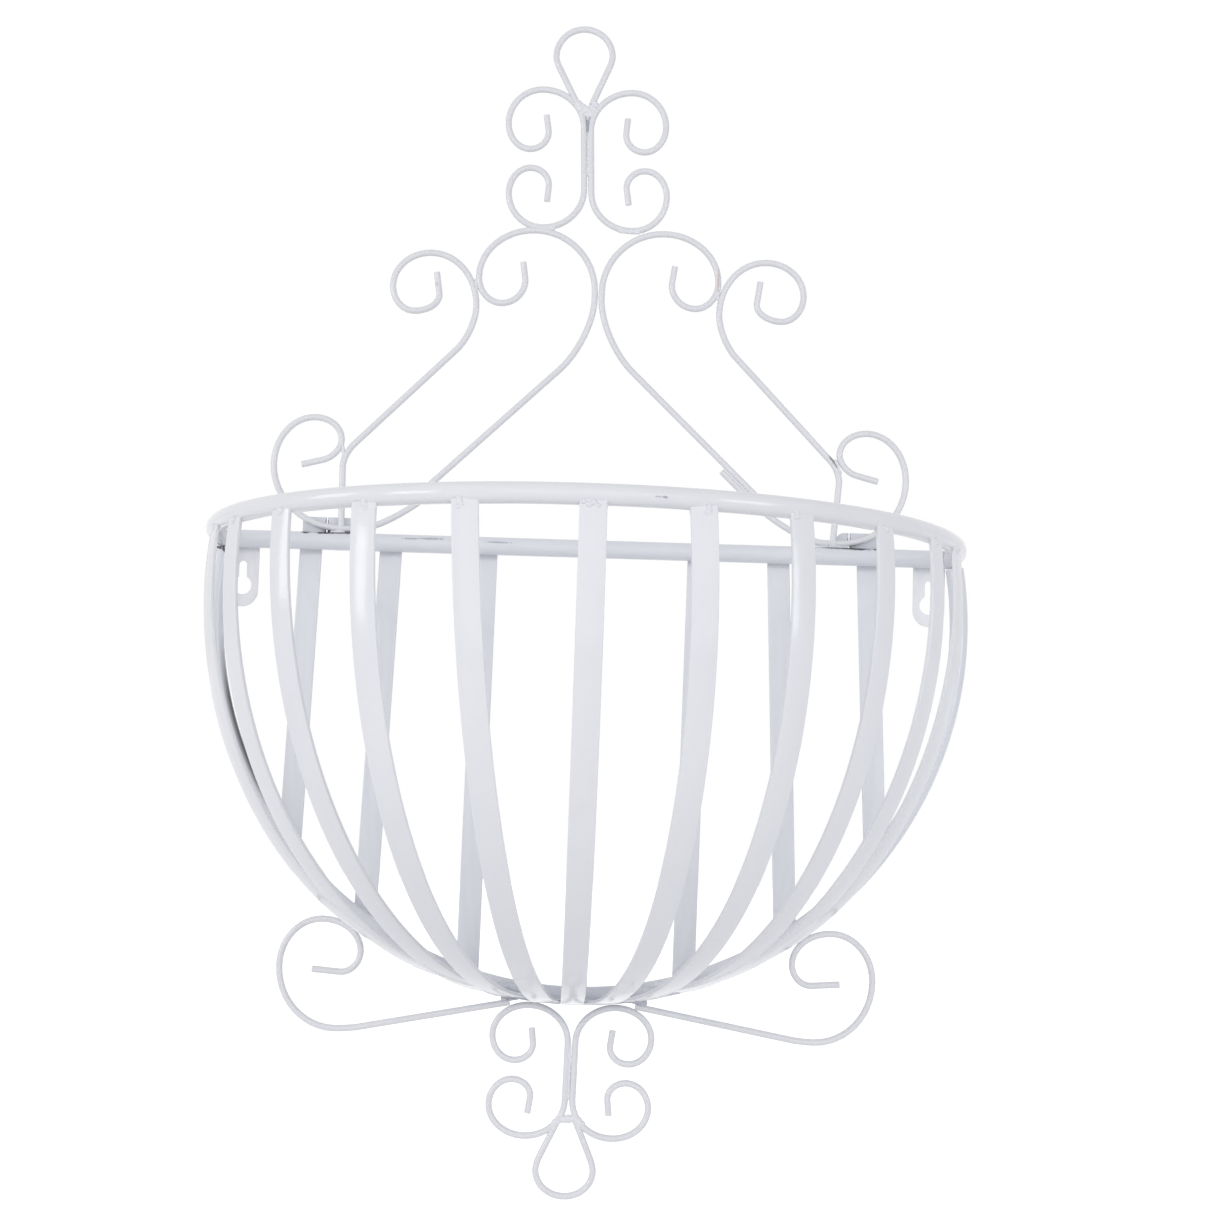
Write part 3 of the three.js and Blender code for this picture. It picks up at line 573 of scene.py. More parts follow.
class Wire:
    """A wire that is bent move by move in the plane of the scrolls."""

    def __init__(self, side, place, lean, start):
        self.side = side
        self.place = place
        self.lean = lean
        self.here = self.spot(start)
        self.strokes = []

    def spot(self, point):
        across = self.side * point[0]
        cos, sin = math.cos(self.lean), math.sin(self.lean)
        x = self.place[0] + across * cos - point[1] * sin
        z = self.place[1] + across * sin + point[1] * cos
        return Vector((x, FRAME_Y, z))

    def run(self, end):
        there = self.spot(end)
        self.strokes.append(straight(self.here, there))
        self.here = there
        return self

    def turn(self, corner, end):
        there = self.spot(end)
        self.strokes.append(quarter(self.here, self.spot(corner), there))
        self.here = there
        return self

    def curl(self, points, starts_upright=True):
        for i in range(1, len(points)):
            from_upright = starts_upright == (i % 2 == 1)
            upright, level = (points[i - 1], points[i]) if from_upright else (points[i], points[i - 1])
            self.turn((upright[0], level[1]), points[i])
        return self


BAR_TOP = TUBE_D / 2
ORNAMENT_X = 0.6


def inner_rod(side):
    size = INNER_ROD
    wire = Wire(side, (ORNAMENT_X, BAR_TOP), 0.0, size["tip"])
    wire.run(size["curl"][0]).curl(size["curl"]).run(size["stem_foot"])
    return wire.turn(size["bend"], size["rod"][0]).run(size["rod"][1])


def outer_rod(side_name, side):
    size, leg = OUTER_ROD, OUTER_LEG[side_name]
    wire = Wire(side, (ORNAMENT_X + OUTER_SHIFT[side_name], BAR_TOP), 0.0, size["tip"])
    wire.run(size["curl"][0]).curl(size["curl"]).turn(size["shoulder"], size["rod_start"])
    return wire.run(leg["rod_end"]).turn(leg["knee"], leg["leg_top"]).run(leg["foot"])


def side_scroll(side_name, side):
    size = SIDE_SCROLL
    shift = SIDE_SHIFT[side_name]

    def moved(point):
        return (point[0] + shift, point[1])

    start, end = (Vector(point) for point in INNER_ROD["rod"])
    along = (end - start).normalized()
    lap_end = end + Vector((along.y, -along.x)) * WIRE_PITCH
    corner = lap_end + along * ((SCROLL_FLOOR - lap_end.y) / along.y)
    bend_end = corner - along * size["bend_length"]
    tip = bend_end - along * size["lap"][side_name]
    curl = [moved(point) for point in size["curl"][:-1]] + [size["curl"][-1]]
    wire = Wire(side, (ORNAMENT_X, BAR_TOP), 0.0, moved(size["tip"]))
    wire.run(moved(size["hook_start"])).turn(moved(size["hook_bend"]), curl[0]).curl(curl)
    return wire.run(size["floor_end"]).turn(tuple(corner), tuple(bend_end)).run(tuple(tip))


def pair_scroll(size, side_name, side):
    def below(point):
        return (point[0], -point[1])

    stem_top = size["curl"][-1]
    wire = Wire(side, size["place"][side_name], size["lean"], size["tip"])
    wire.run(size["curl"][0]).curl(size["curl"]).run(below(stem_top))
    return wire.curl([below(point) for point in reversed(size["curl"])]).run(below(size["tip"]))


def pointed_loop(size, lean, upright):
    def spot(side, point):
        return (side * point[0], upright * point[1])

    wire = Wire(1, size["place"], lean, spot(-1, size["end"]))
    wire.run(spot(-1, size["start"])).turn(spot(-1, size["bend"]), spot(-1, size["widest"]))
    wire.curl([spot(-1, size["widest"]), (0, upright * size["crown"]), spot(1, size["widest"])])
    return wire.turn(spot(1, size["bend"]), spot(1, size["start"])).run(spot(1, size["end"]))


def base_scroll(side_name, side):
    size = BASE_SCROLL
    place = (side * size["out"], -HOOP_DROP - size["down"])
    wire = Wire(side, place, 0.0, size["tip"])
    wire.run(size["curl"][0]).curl(size["curl"], False).turn(size["bend"], size["tail_start"])
    end = size["tail_end"][side_name]
    return wire.run((side * (end[0] - wire.place[0]), end[1] - wire.place[1]))


def rim_strokes():
    centre = Vector((RIM_X, FRAME_Y, 0))
    arc = arc_strokes(centre, RIM_R, Vector((1, 0, 0)), Vector((0, 1, 0)), math.pi, math.pi, 8)
    tail = Vector((0, RIM_TAIL, 0))
    return [straight(arc[0][0] + tail, arc[0][0]), *arc, straight(arc[-1][3], arc[-1][3] + tail)]


def hoop_strokes():
    centre = Vector((0, FRAME_Y, -HOOP_DROP))
    end_angle = math.asin((HOOP_DROP - HOOP_END_DROP - HOOP_END_TRIM) / HOOP_R)
    return arc_strokes(
        centre, HOOP_R, Vector((1, 0, 0)), Vector((0, 0, 1)),
        math.pi - end_angle, math.pi + 2 * end_angle, 8,
    )


def rib_arc(reach, foot_x):
    """The arc of a rib in its own upright plane: centre, radius, and angles of top and foot."""
    top_height = HOOP_DROP - RIB_TOP_DROP
    foot_depth = math.sqrt(RIB_FOOT_R ** 2 - foot_x ** 2)
    centre_x = (reach ** 2 + top_height ** 2 - foot_depth ** 2) / (2 * reach)
    radius = math.hypot(centre_x, foot_depth)
    top_angle = math.atan2(top_height, reach - centre_x)
    foot_angle = math.atan2(-foot_depth, -centre_x)
    return centre_x, radius, top_angle, foot_angle


def rib_places(azimuth, foot_x, tip, top_turn, steps=44):
    """Places along a rib from its top to its foot: point, heading and width direction."""
    angle = math.radians(azimuth)
    top_x = RIM_X + RIB_TOP_R * math.sin(angle)
    top = Vector((top_x, FRAME_Y - RIB_TOP_R * math.cos(angle), 0))
    foot = Vector((foot_x, RIB_FOOT_Y, 0))
    centre_x, radius, top_angle, foot_angle = rib_arc((top - foot).length, foot_x)
    up = Vector((0, 0, 1))
    outward = (top - foot).normalized()
    top_point = Vector((top.x, top.y, -RIB_TOP_DROP))
    foot_point = Vector((foot.x, foot.y, -HOOP_DROP - math.sqrt(RIB_FOOT_R ** 2 - foot_x ** 2)))
    tipping = Matrix.Rotation(math.radians(tip), 3, (foot_point - top_point).normalized())
    foot_width = tipping @ outward.cross(up)
    turned = angle + math.radians(top_turn)
    top_width = Vector((-math.cos(turned), -math.sin(turned), 0))
    places = []
    for i in range(steps + 1):
        t = i / steps
        a = top_angle + (foot_angle - RIB_OVERRUN - top_angle) * t
        across_arc, up_arc = centre_x + radius * math.cos(a), radius * math.sin(a) - HOOP_DROP
        point = foot + outward * across_arc + up * up_arc
        point = tipping @ (point - top_point) + top_point
        heading = (tipping @ (outward * math.sin(a) - up * math.cos(a))).normalized()
        across = top_width.lerp(foot_width, t ** TWIST_EASE)
        across = (across - heading * across.dot(heading)).normalized()
        places.append((point, heading, across))
    return places


def strip_section(bm):
    """The outline of a strip's cut end, its corners rounded."""
    corners = [(-1, -1), (1, -1), (1, 1), (-1, 1)]
    verts = [bm.verts.new((x * STRIP_T / 2 * MM, y * STRIP_W / 2 * MM, 0)) for x, y in corners]
    bm.faces.new(verts)
    rounding = STRIP_ROUNDING * MM
    bmesh.ops.bevel(bm, geom=list(bm.verts), offset=rounding, affect="VERTICES", **ROUNDED)


def frame_at(place):
    point, heading, across = place
    turn = Matrix((across.cross(heading), across, heading)).transposed().to_4x4()
    return Matrix.Translation(point * MM) @ turn


def rib(places):
    """A strip drawn out from its section along the rib's places, and trimmed behind the hoop."""
    bm = bmesh.new()
    strip_section(bm)
    now = frame_at(places[0])
    bmesh.ops.transform(bm, matrix=now, verts=bm.verts)
    ring = list(bm.edges)
    for place in places[1:]:
        following = frame_at(place)
        grown = bmesh.ops.extrude_edge_only(bm, edges=ring)["geom"]
        new_verts = [g for g in grown if isinstance(g, bmesh.types.BMVert)]
        ring = [g for g in grown if isinstance(g, bmesh.types.BMEdge)]
        bmesh.ops.transform(bm, matrix=following @ now.inverted(), verts=new_verts)
        now = following
    bmesh.ops.contextual_create(bm, geom=ring)
    trimmed = bmesh.ops.bisect_plane(
        bm, geom=[*bm.verts, *bm.edges, *bm.faces], plane_co=(0, RIB_TRIM_Y * MM, 0),
        plane_no=(0, 1, 0), clear_outer=True,
    )
    cut = [g for g in trimmed["geom_cut"] if isinstance(g, bmesh.types.BMEdge)]
    bmesh.ops.holes_fill(bm, edges=cut)
    return bm


def inner_edges(bm):
    return [edge for edge in bm.edges if len(edge.link_faces) == 2]


def plate(outline, thickness, back, hole=None, edge=0.35):
    """A flat plate from an outline in x and z, with its coated edges rounded."""
    bm = bmesh.new()
    loops = []
    for loop in ([outline, hole] if hole else [outline]):
        verts = [bm.verts.new((x * MM, back * MM, z * MM)) for x, z in loop]
        loops += [bm.edges.new((verts[i - 1], verts[i])) for i in range(len(verts))]
    fill = {"use_beauty": True, "use_dissolve": False, "normal": (0, -1, 0)}
    bmesh.ops.triangle_fill(bm, edges=loops, **fill)
    if not hole:
        flat = math.radians(1)
        bmesh.ops.dissolve_limit(bm, angle_limit=flat, verts=[], edges=inner_edges(bm))
    faces = bmesh.ops.extrude_face_region(bm, geom=list(bm.faces), use_keep_orig=True)["geom"]
    moved = [g for g in faces if isinstance(g, bmesh.types.BMVert)]
    bmesh.ops.translate(bm, verts=moved, vec=(0, -thickness * MM, 0))
    bmesh.ops.recalc_face_normals(bm, faces=bm.faces)
    sharp = [e for e in inner_edges(bm) if e.calc_face_angle(0) > math.radians(40)]
    bmesh.ops.bevel(
        bm, geom=sharp, offset=edge * MM, affect="EDGES", clamp_overlap=True, **ROUNDED,
    )
    return bm


def hoop_height(x):
    return -HOOP_DROP - math.sqrt(HOOP_R ** 2 - x ** 2)


def slat_outline(top_x, drift):
    foot_x = top_x + drift
    half = STRIP_W / 2
    foot_z = hoop_height(foot_x) - SLAT_LAP
    foot = [(foot_x - half, foot_z), (foot_x + half, foot_z)]
    return [*foot, (top_x + half, SLAT_RISE), (top_x - half, SLAT_RISE)]


def arc_points(x, z, radius, start, end, steps):
    angles = [start + (end - start) * i / steps for i in range(steps + 1)]
    return [(x + radius * math.cos(a), z + radius * math.sin(a)) for a in angles]


def tab_outline(x):
    half = TAB_W / 2
    low = arc_points(x, -KEYHOLE_DROP + half - TAB_END, half, math.pi, 2 * math.pi, 32)
    return [(x + half, SLAT_RISE), (x - half, SLAT_RISE), *low]


def keyhole_outline(x):
    shoulder = math.acos(SLOT_R / KEYHOLE_R)
    hole = arc_points(x, -KEYHOLE_DROP, KEYHOLE_R, math.pi - shoulder, 2 * math.pi + shoulder, 36)
    slot = arc_points(x, -KEYHOLE_DROP + SLOT_RISE - SLOT_R, SLOT_R, 0, math.pi, 16)
    return hole + slot


def scroll_plates(side_name, side):
    inner, seam, outer, rounding = PLATES[side_name]
    front = WIRE_D / 2 + WELD_GAP
    foot = math.sqrt((TUBE_D / 2) ** 2 - front ** 2) + WELD_GAP - PLATE_SINK
    top = foot + PLATE_SINK + PLATE_H
    half_seam = PLATE_SEAM / 2
    corner = arc_points(inner + rounding, top - rounding, rounding, math.pi / 2, math.pi, 10)
    first = [(inner, foot), (seam - half_seam, foot), (seam - half_seam, top), *corner]
    second = [(seam + half_seam, foot), (outer, foot), (outer, top), (seam + half_seam, top)]
    back = FRAME_Y + front + PLATE_T
    return [
        (f"{name}_plate_{side_name}", [(side * x, z) for x, z in outline], back)
        for name, outline in (("inner", first), ("outer", second))
    ]


# ---- Welds

RIPPLE_SHIFT = 0.14
RIPPLE_SIZES = (0.88, 1.12)
RIPPLE_STEP = 0.7
SOFTENING = {"iterations": 4, "factor": 0.6}


def round_template():
    bm = bmesh.new()
    bmesh.ops.create_icosphere(bm, subdivisions=2, radius=1.0)
    mesh = bpy.data.meshes.new("ripple")
    bm.to_mesh(mesh)
    bm.free()
    return mesh


class Welds:
    """Welds of one kind: each is a few ripples that melt into a lumpy skin."""

    def __init__(self, name, seed, voxel=0.32):
        self.name = name
        self.rng = random.Random(seed)
        self.voxel = voxel
        self.ripple = round_template()
        self.all = bmesh.new()

    def ripple_matrix(self, place, radius, stretch=(1, 1, 1)):
        rng = self.rng
        shift = Vector((rng.uniform(-1, 1), rng.uniform(-1, 1), rng.uniform(-1, 1)))
        shift = shift * radius * RIPPLE_SHIFT
        size = radius * rng.uniform(*RIPPLE_SIZES) * MM
        scale = Matrix.Diagonal((*(Vector(stretch) * size), 1))
        return Matrix.Translation((place + shift) * MM) @ scale

    def add(self, ripples):
        """Ripples are a place, a radius and, if the ripple isn't round, its stretch."""
        bm = bmesh.new()
        for ripple in ripples:
            matrix = self.ripple_matrix(*ripple)
            count = len(bm.verts)
            bm.from_mesh(self.ripple)
            bm.verts.ensure_lookup_table()
            bmesh.ops.transform(bm, matrix=matrix, verts=bm.verts[count:])
        self.melt(bm)

    def melt(self, bm):
        raw_mesh = bpy.data.meshes.new("raw_weld")
        bm.to_mesh(raw_mesh)
        bm.free()
        raw = bpy.data.objects.new("raw_weld", raw_mesh)
        bpy.context.collection.objects.link(raw)
        melt = raw.modifiers.new("melt", "REMESH")
        melt.mode = "VOXEL"
        melt.voxel_size = self.voxel * MM
        soften = raw.modifiers.new("soften", "SMOOTH")
        soften.iterations = SOFTENING["iterations"]
        soften.factor = SOFTENING["factor"]
        melted = evaluated_mesh(raw)
        self.all.from_mesh(melted)
        bpy.data.objects.remove(raw)
        bpy.data.meshes.remove(raw_mesh)
        bpy.data.meshes.remove(melted)

    def row(self, points, radius, stretch=(1, 1, 1)):
        """A row of ripples along points."""
        ripples = []
        for start, end in zip(points, points[1:]):
            count = max(1, round((end - start).length / (radius * RIPPLE_STEP)))
            ripples += [(start.lerp(end, i / count), radius, stretch) for i in range(count + 1)]
        self.add(ripples)

    def finish(self, material):
        bpy.data.meshes.remove(self.ripple)
        finish_piece(self.name, self.all, (), material, smooth_angle=80)


# ---- Build

place_camera()

tube_coat = powder_coat(
    "tube_powder_coat", (0.84, 0.845, 0.865, 1), (0.815, 0.82, 0.845, 1), stains_and_shade=RIM_STAINS_AND_SHADE,
)
# Painted shade: the bar's coat is a little bluer than the rim's, for the shade it sits in at the back
bar_coat = powder_coat(
    "bar_powder_coat", (0.82, 0.835, 0.875, 1), (0.79, 0.805, 0.85, 1), stains_and_shade=BAR_STAINS_AND_SHADE,
)
# Painted shade: the hoop's coat is darker and bluer than the rim's, for the shade it sits in behind the
# ribs
hoop_coat = powder_coat(
    "hoop_powder_coat", (0.8, 0.815, 0.85, 1), (0.76, 0.775, 0.82, 1), stains_and_shade=HOOP_SHADE,
    band=painted_shade_band,
)
strip_coat = powder_coat(
    "strip_powder_coat", (0.845, 0.85, 0.872, 1), (0.825, 0.83, 0.857, 1), ALONG_STRIP,
    stains_and_shade=STRIP_SHADE,
)
# Painted shade: the slats' coat is a little bluer than the ribs', for the shade they sit in behind the
# ribs
slat_coat = powder_coat(
    "slat_powder_coat", (0.83, 0.84, 0.875, 1), (0.805, 0.815, 0.855, 1), ALONG_STRIP,
)
# Painted shade: the wires' coat is a little greyer than the rim's, for the shading on the thin round wires
wire_coat = powder_coat(
    "wire_powder_coat", (0.8, 0.803, 0.822, 1), (0.77, 0.773, 0.8, 1), stains_and_shade=WIRE_STAINS_AND_SHADE,
    peel_strength=0.02, speckled=0.1,
)
plate_coat = powder_coat("tab_powder_coat", (0.9, 0.903, 0.92, 1), (0.87, 0.875, 0.9, 1))
# Painted shade: the small plates' coat is darker and bluer than the rest, for the shade they sit in behind
# the scrolls
sheet_coat = powder_coat(
    "sheet_powder_coat", (0.75, 0.765, 0.81, 1), (0.67, 0.685, 0.74, 1), stains_and_shade=PLATE_SHADE,
)
weld_coat = powder_coat(
    "weld_powder_coat", (0.84, 0.845, 0.868, 1), (0.79, 0.8, 0.83, 1), stains_and_shade=WELD_SHADE,
    peel_strength=0.08,
)

# How finely bars are rounded: steps round them, and steps along each stroke
TUBE_STEPS = (11, 16)
BAR_STEPS = (11, 24)
WIRE_STEPS = (7, 12)
BAR_END_IN = 1.0


def finish_tube(name, strokes, steps, node, coat):
    tube = round_bar(strokes, TUBE_COATED_D, *steps)
    finish_piece(name, tube, [node], coat)


finish_tube("rim_tube", rim_strokes(), TUBE_STEPS, "rim_hoop", tube_coat)
bar_start = Vector((RIM_X - RIM_R + BAR_END_IN, FRAME_Y, 0))
bar_end = Vector((RIM_X + RIM_R - BAR_END_IN, FRAME_Y, 0))
finish_tube("bar_tube", [straight(bar_start, bar_end)], BAR_STEPS, "back_bar", bar_coat)
finish_tube("hoop_tube", hoop_strokes(), TUBE_STEPS, "back_hoop", hoop_coat)

rib_lines = {name: rib_places(*size) for name, size in RIBS.items()}
for name, places in rib_lines.items():
    finish_piece(name + "_strip", rib(places), [name], strip_coat)

for name, (top_x, drift) in SLATS.items():
    slat = plate(slat_outline(top_x, drift), STRIP_T, 0, edge=SLAT_EDGE)
    finish_piece(name + "_strip", slat, [name], slat_coat)

for side_name, side in SIDES:
    x = TAB_X[side_name]
    tab = plate(tab_outline(x), STRIP_T, 0, keyhole_outline(x))
    finish_piece(f"tab_{side_name}", tab, [f"hanging_tab_{side_name}"], plate_coat)
    for name, outline, back in scroll_plates(side_name, side):
        sheet = plate(outline, PLATE_T, back)
        finish_piece(name + "_sheet", sheet, [name], sheet_coat)

WIRES = {}
for side_name, side in SIDES:
    WIRES[f"inner_rod_{side_name}"] = inner_rod(side)
    WIRES[f"outer_rod_{side_name}"] = outer_rod(side_name, side)
    WIRES[f"side_scroll_{side_name}"] = side_scroll(side_name, side)
    WIRES[f"finial_scroll_{side_name}"] = pair_scroll(FINIAL, side_name, side)
    WIRES[f"drop_scroll_{side_name}"] = pair_scroll(DROP, side_name, side)
    WIRES[f"base_scroll_{side_name}"] = base_scroll(side_name, side)
WIRES["finial_loop"] = pointed_loop(FINIAL_LOOP, FINIAL["lean"], 1)
WIRES["drop_loop"] = pointed_loop(DROP_LOOP, DROP["lean"], -1)
for name, wire in WIRES.items():
    bent = round_bar(wire.strokes, WIRE_COATED_D, *WIRE_STEPS)
    finish_piece(name + "_wire", bent, [name], wire_coat)

# ---- Welds of the ribs

# Lumps where a strip meets the rim: each is how far across, how far down, and its radius
TOP_LUMPS = {
    "rib_centre": [(-4.2, 1.0, 1.3), (-1.8, 1.8, 1.5), (0.6, 0.8, 1.4), (2.2, 2.4, 1.2), (3.4, -0.6, 1.1)],
    "rib_left_1": [(-2.6, -0.5, 1.5), (-2.0, 1.6, 1.6), (-2.8, 3.6, 1.3), (-1.2, 2.6, 1.0)],
    "rib_left_2": [(0.6, -0.6, 1.3), (0.2, 1.4, 1.5), (0.8, 3.4, 1.3)],
    "rib_right_1": [(1.8, 0.4, 1.4), (2.0, 2.2, 1.6), (0.4, 3.6, 1.2), (2.8, 3.8, 1.0)],
    "rib_right_2": [(-3.4, -0.4, 1.2), (-2.8, 1.2, 1.4), (-4.4, 1.8, 1.0)],
}
OTHER_LUMPS = [(-0.6, -0.2, 1.3), (0.8, 1.2, 1.5), (-1.2, 2.4, 1.2)]
LUMP_STRETCH = (1, 1, 1.15)
LUMP_PROUD = 0.9
LUMP_SLOPE = 0.12
TOP_CORNER = {"across": 5.4, "down": 2.4, "radius": 1.0, "tail_down": 1.1, "tail_radius": 0.8}
TOP_INSIDE = {"in": 1.0, "down": 1.6, "half": 4, "radius": 0.9}
FOOT_BEAD = {"behind": 0.6, "proud": 0.9, "half": 5.2, "radius": 0.75}


def weld_rib_top(name, place):
    """Lumps on the strip's face, beads at its corners and a row on its inner side."""
    point, heading, across = place
    radial = Vector((point.x - RIM_X, point.y - FRAME_Y, 0)).normalized()
    rightward = across if across.x > 0 else -across
    lumps = []
    for aside, down, radius in TOP_LUMPS.get(name, OTHER_LUMPS):
        proud = LUMP_PROUD - LUMP_SLOPE * max(down, 0)
        lump = point + rightward * aside + heading * down + radial * proud
        lumps.append((lump, radius, LUMP_STRETCH))
    top_welds.add(lumps)
    size = TOP_CORNER
    for aside in (-size["across"], size["across"]):
        corner = point + across * aside + heading * size["down"]
        tail = corner + heading * size["tail_down"]
        top_welds.add([(corner, size["radius"]), (tail, size["tail_radius"])])
    size = TOP_INSIDE
    inner = point - radial * size["in"] + heading * size["down"]
    reach = across * size["half"]
    top_welds.row([inner - reach, inner + reach], size["radius"])


def weld_rib_foot(places):
    """A bead along each face of the strip, where it meets the hoop."""
    size = FOOT_BEAD
    bead_y = RIB_FOOT_Y + size["behind"]
    point, heading, across = min(places, key=lambda place: abs(place[0].y - bead_y))
    side_face = heading.cross(across).normalized()
    reach = across * size["half"]
    for face in (-1, 1):
        foot = point + side_face * face * size["proud"]
        foot_welds.row([foot - reach, foot + reach], size["radius"])


top_welds = Welds("rib_top_welds", 7)
foot_welds = Welds("rib_foot_welds", 11)
for name, places in rib_lines.items():
    weld_rib_top(name, places[0])
    weld_rib_foot(places)
top_welds.finish(weld_coat)
foot_welds.finish(weld_coat)

# ---- Welds between the wires

# Rows of ripples, each with its points and its radius
WIRE_ROWS = [
    ([(2.1, 142.5), (2.1, 135.0)], 1.3),
    ([(-34.0, 175.6), (-25.0, 175.6)], 1.1),
    ([(11.5, 175.4), (21.5, 174.8)], 1.2),
    ([(-66.0, 146.0), (-66.0, 137.0)], 1.0),
    ([(65.8, 148.0), (65.8, 139.0)], 1.0),
    ([(-134.6, 51.5), (-134.2, 44.0)], 1.0),
    ([(131.6, 52.0), (134.2, 45.5)], 1.0),
    ([(-7.6, 228.0), (-7.0, 206.0)], 0.9),
    ([(-8.1, 239.5), (-7.7, 229.0)], 1.0),
    ([(-1.9, -262.0), (-1.9, -290.0)], 0.9),
    ([(-37.5, -239.6), (-28.0, -237.6)], 1.8),
    ([(27.5, -237.8), (36.5, -239.6)], 1.8),
]
ROW_PROUD = 0.5
# The web where the finial's loop stands between its scrolls: places, radii and their stretch
FINIAL_WEB = [
    (-13.8, 246.0, 2.2), (-12.7, 243.4, 2.4), (-10.8, 241.4, 2.4), (-8.6, 240.2, 2.3),
    (-6.4, 240.8, 2.4), (-4.9, 243.0, 2.5), (-4.4, 245.6, 2.3), (-11.2, 244.2, 2.3),
    (-8.5, 242.6, 2.6), (-6.2, 244.2, 2.3),
]
FINIAL_STRETCH = (1, 0.85, 1)
# The web above the drop's loop
DROP_WEB = [
    (-8.0, -302.6, 2.3), (-6.0, -301.2, 2.4), (-3.8, -300.4, 2.4), (-1.4, -300.2, 2.5),
    (1.0, -300.4, 2.4), (3.2, -301.2, 2.4), (5.2, -302.6, 2.3),
]
DROP_STRETCH = (1.1, 0.75, 0.95)
WEB_PROUD = 0.3


def at_wire(x, z, ahead):
    return Vector((x, FRAME_Y - ahead, z))


wire_welds = Welds("wire_welds", 19, 0.28)
for points, radius in WIRE_ROWS:
    wire_welds.row([at_wire(*point, ROW_PROUD) for point in points], radius)
for web, stretch in ((FINIAL_WEB, FINIAL_STRETCH), (DROP_WEB, DROP_STRETCH)):
    wire_welds.add([(at_wire(x, z, WEB_PROUD), radius, stretch) for x, z, radius in web])
wire_welds.finish(weld_coat)

# ---- Welds between the frame and what it carries

BACK_CREVICE_Y = -STRIP_T - 0.7
CREVICE = 3.0
SLAT_BEAD = 4.5
TAB_BEAD = 6.5
BAR_END = {"in": 5.4, "ring": 4.9, "from": 60, "to": 300, "step": 30}
BAR_END_BEAD = {"from": 191, "to": 197, "ahead": 3.4, "up": 4.2}
# Beads at the foot of the small plates: from and to, across from each plate's own edge
INNER_BEAD = (1, 5)
SEAM_BEAD = (1.5, 5)
OUTER_BEAD = (-6, -1)
PLATE_BEAD = {"ahead": 0.4, "up": 4.6}
# The flare at the foot of an outer rod: across, up and radius
LEG_FLARE = [(-1.4, 5.4, 1.3), (1.4, 5.4, 1.3), (0, 5.8, 1.7), (0, 7.4, 1.9)]
LEG_PROUD = 0.2
SCROLL_BEADS = ((120, 128), (133, 139))
SCROLL_BEAD = {"ahead": 1.0, "up": 0.1, "radius": 0.7}
LUMP_RUN = {"from": -113, "to": -88, "out": 3.6, "ahead": 3.0, "steps": 6, "radius": 1.2}
LUMP_RUN_STRETCH = (1, 1, 0.8)


def along_hoop(x_from, x_to, radius, y, steps=4):
    places = [x_from + (x_to - x_from) * i / steps for i in range(steps + 1)]
    return [Vector((x, y, -HOOP_DROP - math.sqrt(radius ** 2 - x ** 2))) for x in places]


def level_row(x_from, x_to, y, z):
    return [Vector((x_from, y, z)), Vector((x_to, y, z))]


def weld_slat(top_x, drift):
    left, right = top_x - SLAT_BEAD, top_x + SLAT_BEAD
    frame_welds.row(level_row(left, right, BACK_CREVICE_Y, -CREVICE), 1.0)
    frame_welds.row(level_row(left, right, BACK_CREVICE_Y, CREVICE), 0.9)
    foot_x = top_x + drift
    left, right = foot_x - SLAT_BEAD, foot_x + SLAT_BEAD
    frame_welds.row(along_hoop(left, right, HOOP_R - CREVICE, BACK_CREVICE_Y), 1.0)


def weld_tab(x):
    frame_welds.row(level_row(x - TAB_BEAD, x + TAB_BEAD, BACK_CREVICE_Y, -CREVICE), 1.0)


def weld_bar_end(side):
    """Round the bar's cut end where it meets the rim, and along its top."""
    size = BAR_END
    end_x = RIM_X + side * (RIM_R - size["in"])
    ring = []
    for degrees in range(size["from"], size["to"] + 1, size["step"]):
        angle = math.radians(degrees)
        y = FRAME_Y + size["ring"] * math.cos(angle)
        ring.append(Vector((end_x, y, size["ring"] * math.sin(angle))))
    frame_welds.row(ring, 0.9)
    size = BAR_END_BEAD
    bead = level_row(side * size["from"], side * size["to"], FRAME_Y - size["ahead"], size["up"])
    frame_welds.row(bead, 1.1)


def weld_plates(side_name, side):
    inner, seam, outer, _ = PLATES[side_name]
    y = FRAME_Y + WIRE_D / 2 + WELD_GAP + PLATE_T - PLATE_BEAD["ahead"]
    for edge, bead in ((inner, INNER_BEAD), (seam, SEAM_BEAD), (outer, OUTER_BEAD)):
        start, end = (side * (edge + aside) for aside in bead)
        frame_welds.row(level_row(start, end, y, PLATE_BEAD["up"]), 0.9)


def weld_leg(side_name, side):
    foot_x = side * OUTER_LEG[side_name]["foot"][0] + ORNAMENT_X + OUTER_SHIFT[side_name]
    frame_welds.add([(at_wire(foot_x + aside, z, LEG_PROUD), r) for aside, z, r in LEG_FLARE])


def weld_side_scroll(side):
    for start, end in SCROLL_BEADS:
        y, z = FRAME_Y - SCROLL_BEAD["ahead"], BAR_TOP + SCROLL_BEAD["up"]
        frame_welds.row(level_row(side * start, side * end, y, z), SCROLL_BEAD["radius"])


def weld_lump_run():
    """A lumpy run on the hoop's lower left."""
    size = LUMP_RUN
    y = FRAME_Y - size["ahead"]
    run = along_hoop(size["from"], size["to"], HOOP_R + size["out"], y, size["steps"])
    frame_welds.row(run, size["radius"], LUMP_RUN_STRETCH)


frame_welds = Welds("frame_welds", 23, 0.36)
for top_x, drift in SLATS.values():
    weld_slat(top_x, drift)
for side_name, side in SIDES:
    weld_tab(TAB_X[side_name])
    weld_bar_end(side)
    weld_plates(side_name, side)
    weld_leg(side_name, side)
    weld_side_scroll(side)
weld_lump_run()
frame_welds.finish(weld_coat)

# ---- Stage

